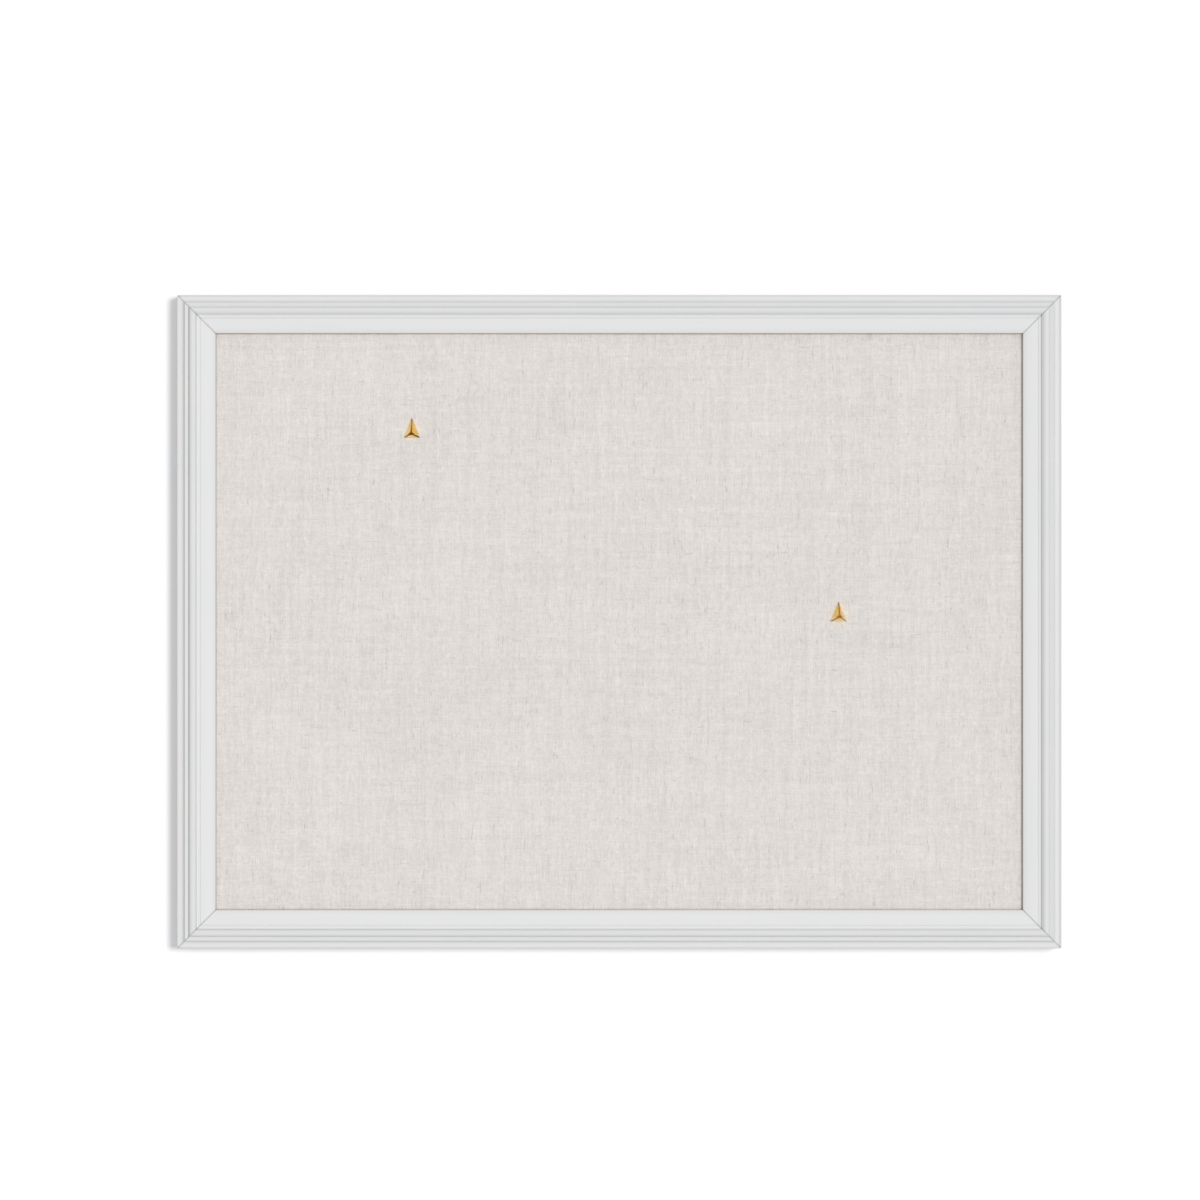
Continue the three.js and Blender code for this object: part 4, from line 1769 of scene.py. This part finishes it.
@dataclass
class RingHanger:
    """A D-ring hanger: the wire ring, the folded strap round its bar, and the screw."""

    wire: float = 2.2 * MM
    wire_sides: int = 24
    ring_width: float = 17 * MM
    ring_reach: float = 14.1 * MM
    ring_bend: float = 2.4 * MM
    ring_gap: float = 0.5 * MM
    rest_gap: float = 0.15 * MM
    bend_steps: int = 8
    bow_steps: int = 32
    strap_width: float = 9.6 * MM
    strap: float = 0.8 * MM
    strap_tail: float = 14 * MM
    tail_round: float = 0.98
    fold_gap: float = 0.15 * MM
    eye_length: float = 5 * MM
    eye_play: float = 0.2 * MM
    eye_steps: int = 18
    # How far round from the top of the bar the fold goes before it turns back to the tail.
    lift_off: float = math.radians(120)
    return_steps: int = 8
    strap_edge: float = 0.15 * MM
    strap_edge_degrees: float = 50
    head_width: float = 6 * MM
    head_height: float = 1.8 * MM
    head_rim: float = 0.6 * MM
    shank_width: float = 2.9 * MM
    shank_length: float = 12 * MM
    point_share: float = 0.25
    point_narrowing: float = 0.06
    recess_width: float = 0.8 * MM
    recess_depth: float = 1.1 * MM
    recess_reach: float = 0.31
    recess_top: float = 1.2
    recess_taper: Triple = (0.35, 1.0, 0.6)
    screw_turn: float = 0.4

    @property
    def axis_height(self) -> float:
        """How far the ring's bar stands off the moulding's back."""
        return self.strap + self.eye_play + self.wire / 2

    @property
    def folded(self) -> float:
        """The thickness of the strap's two layers."""
        return 2 * self.strap + self.fold_gap

    def hinge(self, hand: Hand) -> Vector:
        """Where the middle of a ring's bar is, as its joint says."""
        joint = next(j for j in frame["joints"] if j["name"] == f"{hand.word}_ring_swing")
        return Vector(joint["pos_m"])

    def ring(self) -> Piece:
        """The bent wire ring, its bar on X at the origin and its bow below, leant on the strap.

        Returns:
            The ring, made by drawing a circle of wire along straights and round bends.
        """
        radius = self.wire / 2
        half = self.ring_width / 2 - radius
        reach = self.ring_reach - radius
        straight = half - self.ring_bend
        side = reach - half - self.ring_bend
        bpy.ops.mesh.primitive_circle_add(
            vertices=self.wire_sides,
            radius=radius,
            fill_type="NGON",
            location=(self.ring_gap / 2, 0, 0),
            rotation=(0, QUARTER_TURN, 0),
        )
        ring = named_primitive("wire_ring")
        with editing(ring):
            pick_all()
            extrude((straight - self.ring_gap / 2, 0, 0))
            self._bend((straight, 0, -self.ring_bend), QUARTER_TURN, self.bend_steps)
            extrude((0, 0, -side))
            self._bend((0, 0, half - reach), 2 * QUARTER_TURN, self.bow_steps)
            extrude((0, 0, side))
            self._bend((-straight, 0, -self.ring_bend), QUARTER_TURN, self.bend_steps)
            extrude((straight - self.ring_gap / 2, 0, 0))
        face_outwards(ring)
        stand_off = self.folded + self.rest_gap + radius - self.axis_height
        ring.data.transform(Matrix.Rotation(math.asin(stand_off / reach), 4, "X"))
        smooth_by_angle(ring, degrees=50)
        return ring

    @staticmethod
    def _bend(centre: Triple, angle: float, steps: int) -> None:
        """Bends the selected end of the wire round a centre, clockwise as seen from the front."""
        bpy.ops.mesh.spin(steps=steps, angle=angle, center=centre, axis=(0, -1, 0))

    def strip(self) -> Piece:
        """The folded strap, with the bar of the ring at the origin and its tail below.

        Returns:
            The strap: a flat strip bent round the bar and laid back on itself, its tail rounded.
        """
        fold = self.wire / 2 + self.eye_play + self.strap / 2
        lower = self.strap / 2 - self.axis_height
        upper = lower + self.strap + self.fold_gap
        bpy.ops.mesh.primitive_plane_add(
            size=1,
            location=(0, lower, -self.strap_tail / 2),
            rotation=FACE_FORWARD,
        )
        strip = named_primitive("folded_strap", self.strap_width, self.strap_tail)
        crest = Vector((0, math.sin(self.lift_off), math.cos(self.lift_off))) * fold
        slope = Vector((0, math.cos(self.lift_off), -math.sin(self.lift_off))) * fold
        eye_end = Vector((0, upper, -self.eye_length))
        way_back = (crest, crest + slope, eye_end + Vector((0, 0, fold)), eye_end)
        with editing(strip):
            pick(strip, Part.EDGE, lambda e: middle(e).z > -NEAR)
            bpy.ops.mesh.spin(
                steps=self.eye_steps,
                angle=QUARTER_TURN + self.lift_off,
                center=(0, 0, 0),
                axis=(1, 0, 0),
            )
            place = crest
            for after in bezier(way_back, self.return_steps):
                extrude(after - place)
                place = after
            extrude((0, 0, self.eye_length - self.strap_tail))
            pick(strip, Part.VERT, lambda v: v.co.z < NEAR - self.strap_tail)
            tail_round = self.strap_width / 2 * self.tail_round
            bpy.ops.mesh.bevel(offset=tail_round, segments=10, affect="VERTICES")
        skin = strip.modifiers.new("thickness", "SOLIDIFY")
        skin.thickness = self.strap
        skin.offset = 0
        rounding = strip.modifiers.new("edges", "BEVEL")
        rounding.width = self.strap_edge
        rounding.segments = 2
        rounding.angle_limit = math.radians(self.strap_edge_degrees)
        apply_modifiers(strip)
        face_outwards(strip)
        smooth_by_angle(strip, degrees=35)
        return strip

    def screw(self) -> Piece:
        """The pan-head screw with its cross recess, the underside of its head at the origin.

        Returns:
            The screw, its head towards +Y.
        """
        screw = add_rod("cross_head_screw", self.head_width, self.head_height, sides=48)
        point = self.shank_length * self.point_share
        with editing(screw):
            pick(screw, Part.EDGE, lambda e: middle(e).y > self.head_height - NEAR)
            round_edges(self.head_height - self.head_rim, segments=7)
            pick(screw, Part.FACE, lambda f: f.normal.y < -FACING)
            bpy.ops.mesh.inset(thickness=(self.head_width - self.shank_width) / 2)
            extrude((0, point - self.shank_length, 0))
            extrude((0, -point, 0))
            resize((self.point_narrowing, 1, self.point_narrowing))
        for turn in (0, 1):
            self._cut_recess(screw, turn)
        smooth_by_angle(screw, degrees=35)
        return screw

    def _cut_recess(self, screw: Piece, turn: int) -> None:
        """Cuts one arm of the cross out of a screw's head, as a slot that narrows as it deepens.

        Args:
            screw: The screw.
            turn: 0 for the level arm, 1 for the upright one.
        """
        reach = self.head_width * self.recess_reach
        floor = self.head_height - self.recess_depth
        above = self.head_height * self.recess_top
        half = self.recess_width / 2
        cutter = add_block("recess", Box(Vector((-reach, floor, -half)), Vector((reach, above, half))))
        with editing(cutter):
            pick(cutter, Part.FACE, lambda f: f.normal.y < -FACING)
            resize(self.recess_taper)
        cutter.data.transform(Matrix.Rotation(turn * QUARTER_TURN, 4, "Y"))
        cut = screw.modifiers.new("recess", "BOOLEAN")
        cut.operation = "DIFFERENCE"
        cut.object = cutter
        apply_modifiers(screw)
        discard(cutter)

    def build(self) -> None:
        """Builds one hanger and sets a copy of it on each stile."""
        ring, strip, screw = self.ring(), self.strip(), self.screw()
        for hand in Hand:
            hinge = Matrix.Translation(self.hinge(hand))
            box = Box.of(f"{hand.word}_hanger_screw")
            head = Vector((box.centre.x, box.high.y - self.head_height, box.centre.z))
            turn = Matrix.Rotation(hand.value * self.screw_turn, 4, "Y")
            for pattern, word, place, body in (
                (ring, "ring", hinge, f"{hand.word}_ring"),
                (strip, "strap", hinge, "board"),
                (screw, "screw", Matrix.Translation(head) @ turn, "board"),
            ):
                piece = copy_of(pattern, f"{hand.word}_{pattern.name}", place)
                dress(piece, NICKEL, body, f"{hand.word}_hanger_{word}")
        for pattern in (ring, strip, screw):
            discard(pattern)


@dataclass
class WallBumpers:
    """The moulded bumpers that keep the frame off the wall."""

    foot_width: float = 12.6 * MM
    face_width: float = 10.4 * MM
    height: float = 4.8 * MM
    rounding: float = 0.9 * MM
    foot_round: float = 0.3 * MM

    def bumper(self) -> Piece:
        """One bumper.

        Returns:
            The bumper, its foot at the origin and its flat face towards +Y.
        """
        bumper = add_rod("rubber_bumper", self.foot_width, self.height, sides=64)
        taper = self.face_width / self.foot_width
        with editing(bumper):
            pick(bumper, Part.FACE, lambda f: f.normal.y > FACING)
            resize((taper, 1, taper))
            pick(bumper, Part.EDGE, lambda e: middle(e).y > self.height - NEAR)
            round_edges(self.rounding, segments=6)
            pick(bumper, Part.EDGE, lambda e: middle(e).y < NEAR)
            round_edges(self.foot_round, segments=3)
        smooth_by_angle(bumper, degrees=40)
        return bumper

    def build(self) -> None:
        """Sets a bumper near each corner of the back."""
        pattern = self.bumper()
        for node in nodes_of("wall_bumper"):
            box = Box.of(node)
            foot = Matrix.Translation((box.centre.x, box.low.y, box.centre.z))
            dress(copy_of(pattern, node.replace("wall", "rubber"), foot), RUBBER, "board", node)
        discard(pattern)


@dataclass
class PushPin:
    """A push pin: a cast gold pyramid on a steel needle."""

    # Where each peak lies from the middle of its foot: no two castings are quite alike.
    left_peak: Span = (-0.35 * MM, 2.35 * MM)
    right_peak: Span = (0.5 * MM, 3.1 * MM)
    # How strong each head's painted dark reflection is along its upper, left and right ridges and at its
    # peak.
    left_browning: tuple[float, ...] = (0.7, 0.6, 1.0, 1.0)
    right_browning: tuple[float, ...] = (0.9, 0.9, 0.5, 0.75)
    rim: float = 0.5 * MM
    ridge_round: float = 0.55 * MM
    face_inset: float = 0.25 * MM
    face_dip: float = 0.12 * MM
    # A sloping face has at least this area, and at least this share of its normal is forward.
    face_least: float = 10 * MM * MM
    face_lean: float = 0.1
    needle_point: float = 0.2
    # For each stretch of a needle's point, its share of the point and how much narrower it ends.
    needle_stretches: tuple[Span, ...] = ((0.45, 0.78), (0.35, 0.45), (0.2, 0.1))

    def peak(self, hand: Hand) -> Vector:
        """Where a head's peak lies, from the middle of its foot."""
        across, up = self.left_peak if hand is Hand.LEFT else self.right_peak
        return Vector((across, 0, up))

    def gold(self, hand: Hand) -> RidgedGold:
        """The gold of a head, with painted dark reflections along the three lines from the peak to the
        corners.

        Args:
            hand: Which of the two pins.

        Returns:
            The finish of that pin's head.
        """
        size, peak = Box.of(f"{hand.word}_pin_head").size, self.peak(hand)
        corners = (Vector((0, 0, size.z)), Vector((-size.x / 2, 0, 0)), Vector((size.x / 2, 0, 0)))
        # The strengths of the painted dark reflections on the ridges and at the peak.
        *ridge_reflections, peak_reflection = self.left_browning if hand is Hand.LEFT else self.right_browning
        return RidgedGold(
            name=f"{hand.word}_polished_gold",
            paler=hand,
            peak=peak_reflection,
            ridges=tuple(
                (tuple((corner - peak).normalized()), strength)
                for corner, strength in zip(corners, ridge_reflections)
            ),
        )

    def head(self, hand: Hand) -> Piece:
        """The pyramid head.

        Args:
            hand: Which of the two pins.

        Returns:
            A three-sided pyramid on a thin rim, its ridges and corners rounded.
        """
        box = Box.of(f"{hand.word}_pin_head")
        rise = box.size.y - self.rim
        bpy.ops.mesh.primitive_cone_add(
            vertices=3,
            radius1=1,
            radius2=0,
            depth=1,
            location=(0, -0.5, 0),
            rotation=FACE_FORWARD,
        )
        head = named_primitive(f"{hand.word}_gold_pyramid")
        # The base of a three-sided cone of radius 1 is so wide and tall, and ends so far below it.
        width, height, below = math.sqrt(3), 1.5, 0.5
        fit = Matrix.Diagonal((box.size.x / width, rise, box.size.z / height, 1))
        head.data.transform(fit @ Matrix.Translation((0, 0, below)))
        tip = Vector((0, -rise, box.size.z / 3))
        with editing(head):
            pick(head, Part.VERT, lambda v: v.co.y < -rise / 2)
            bpy.ops.transform.translate(value=self.peak(hand) - Vector((0, rise, 0)) - tip)
            pick(head, Part.FACE, lambda f: f.normal.y > FACING)
            extrude((0, self.rim, 0))
            pick(head, Part.EDGE, lambda e: middle(e).y < -NEAR)
            bpy.ops.mesh.bevel(offset=self.ridge_round, segments=5, affect="EDGES", clamp_overlap=True)
            lowered = min(vertex.co.y for vertex in bmesh.from_edit_mesh(head.data).verts)
            pick(head, Part.VERT, lambda v: v.co.y < -NEAR)
            resize((1, -rise / lowered, 1))
            pick(head, Part.FACE, self._on_face)
            bpy.ops.mesh.inset(thickness=self.face_inset, depth=-self.face_dip, use_individual=True)
        face_outwards(head)
        mark_places(head, "pin_place", self.peak(hand))
        head.data.transform(Matrix.Translation((box.centre.x, box.high.y - self.rim, box.low.z)))
        smooth_by_angle(head, degrees=30)
        return head

    def _on_face(self, face: bmesh.types.BMFace) -> bool:
        """Whether a face is one of the three that slope up to the peak."""
        return face.calc_area() > self.face_least and face.normal.y < -self.face_lean

    def needle(self, hand: Hand) -> Piece:
        """The needle, ground to a point.

        Args:
            hand: Which of the two pins.

        Returns:
            The needle, its root inside the head.
        """
        box = Box.of(f"{hand.word}_pin_needle")
        root = Vector((box.centre.x, box.low.y, box.centre.z))
        point = box.size.y * self.needle_point
        name = f"{hand.word}_steel_needle"
        needle = add_rod(name, box.size.x, box.size.y - point, sides=24, start=root)
        with editing(needle):
            pick(needle, Part.FACE, lambda f: f.normal.y > FACING)
            for share, narrowing in self.needle_stretches:
                extrude((0, point * share, 0))
                resize((narrowing, 1, narrowing), root)
        smooth_by_angle(needle, degrees=40)
        return needle

    def build(self) -> None:
        """Builds both pins."""
        for hand in Hand:
            body = f"{hand.word}_pin"
            dress(self.head(hand), self.gold(hand), body, f"{hand.word}_pin_head")
            dress(self.needle(hand), STEEL, body, f"{hand.word}_pin_needle")


@dataclass(frozen=True)
class Lamp:
    """A distant lamp.

    Attributes:
        name: Its name.
        way: The way towards it.
        strength: Its strength.
        spread_degrees: How wide it looks.
    """

    name: str
    way: Triple
    strength: float
    spread_degrees: float = 14.0

    def light(self) -> None:
        """Adds the lamp."""
        data = bpy.data.lights.new(self.name, "SUN")
        data.energy = self.strength
        data.angle = math.radians(self.spread_degrees)
        lamp = bpy.data.objects.new(self.name, data)
        lamp.rotation_euler = Vector(self.way).to_track_quat("Z", "Y").to_euler()
        bpy.context.scene.collection.objects.link(lamp)


@dataclass
class Studio:
    """The wall, the lights, the sky and the camera."""

    photo_width_px: float = 1200.0
    frame_left_px: float = 177.5
    frame_right_px: float = 1061.0
    frame_top_px: float = 294.4
    frame_bottom_px: float = 948.9
    camera_distance: float = 5000 * MM
    clip_start: float = 10 * MM
    clip_end: float = 50.0
    sensor: float = 36.0
    lamps: tuple[Lamp, ...] = (
        Lamp("key_lamp", (0.326, -1.0, 0.085), 1.55),
        Lamp("back_lamp", (-0.5, 1.0, 0.7), 1.4),
    )
    sky_colour: Colour = (0.52, 0.52, 0.52, 1.0)
    wall_size: float = 3.0
    wall_gap: float = 0.2 * MM
    wall_glow: Colour = (0.055, 0.075, 0.10, 1.0)
    wall_colour: Colour = (0.995, 0.995, 0.995, 1.0)

    def camera(self) -> None:
        """Sets the camera square on to the board, framed as in the photograph."""
        across_px = self.frame_right_px - self.frame_left_px
        down_px = self.frame_bottom_px - self.frame_top_px
        scale = (BOARD.size.x + BOARD.size.z) / (across_px + down_px)
        across = (self.photo_width_px - self.frame_left_px - self.frame_right_px) / 2
        down = (self.photo_width_px - self.frame_top_px - self.frame_bottom_px) / 2
        silhouette = Box.of(Place.TOP.node).high.y - Moulding.lip_height
        data = bpy.data.cameras.new("camera")
        data.sensor_width = self.sensor
        data.lens = self.sensor * self.camera_distance / (scale * self.photo_width_px)
        data.clip_start = self.clip_start
        data.clip_end = self.clip_end
        camera = bpy.data.objects.new("camera", data)
        camera.location = (
            BOARD.centre.x + across * scale,
            silhouette - self.camera_distance,
            BOARD.centre.z - down * scale,
        )
        camera.rotation_euler = (QUARTER_TURN, 0, 0)
        bpy.context.scene.collection.objects.link(camera)
        bpy.context.scene.camera = camera

    def sky(self) -> None:
        """A grey sky that fills the shadows, and looks white to the camera and in reflections."""
        world = bpy.data.worlds.new("studio_sky")
        world.use_nodes = True
        bench = NodeBench(world.node_tree)
        path = bench.named("LightPath")
        seen = path["Is Camera Ray"].larger(path["Is Glossy Ray"])
        seen = seen.larger(path["Is Transmission Ray"])
        fill, white = [
            bench.signals("Background", {"Color": colour, "Strength": 1.0})[0]
            for colour in (self.sky_colour, WHITE)
        ]
        both = bench.signals("MixShader", {0: seen, 1: fill, 2: white})[0]
        bench.add("OutputWorld", {"Surface": both})
        bpy.context.scene.world = world

    def wall(self) -> None:
        """A white wall that keeps the board's shadow, and that is seen only from the front."""
        bpy.ops.mesh.primitive_plane_add(
            size=self.wall_size,
            location=(0, self.wall_gap, 0),
            rotation=FACE_FORWARD,
        )
        wall = named_primitive("wall")
        material = bpy.data.materials.new("wall_white")
        material.use_nodes = True
        bench = NodeBench(material.node_tree)
        matt = bench.signals("BsdfDiffuse", {"Color": self.wall_colour})[0]
        glow = bench.signals("Emission", {"Color": self.wall_glow, "Strength": 1.0})[0]
        lit = bench.signals("AddShader", {0: matt, 1: glow})[0]
        clear = bench.signals("BsdfTransparent")[0]
        behind = bench.named("NewGeometry")["Backfacing"]
        both = bench.signals("MixShader", {0: behind, 1: lit, 2: clear})[0]
        bench.add("OutputMaterial", {"Surface": both})
        wall.data.materials.append(material)
        for ray in ("diffuse", "glossy", "transmission", "shadow"):
            setattr(wall, f"visible_{ray}", False)

    def build(self) -> None:
        """Builds the studio."""
        self.camera()
        self.sky()
        self.wall()
        for lamp in self.lamps:
            lamp.light()
        bpy.context.scene.view_settings.view_transform = "Standard"


def main() -> None:
    """Builds the board and its studio."""
    logging.basicConfig(level=logging.INFO, format="%(name)s: %(message)s")
    for assembly in (
        Studio(),
        Moulding(),
        Panel(),
        PanelPoints(),
        CornerWedges(),
        RingHanger(),
        WallBumpers(),
        PushPin(),
    ):
        LOG.info("building %s", type(assembly).__name__)
        assembly.build()


if __name__ == "__main__":
    main()
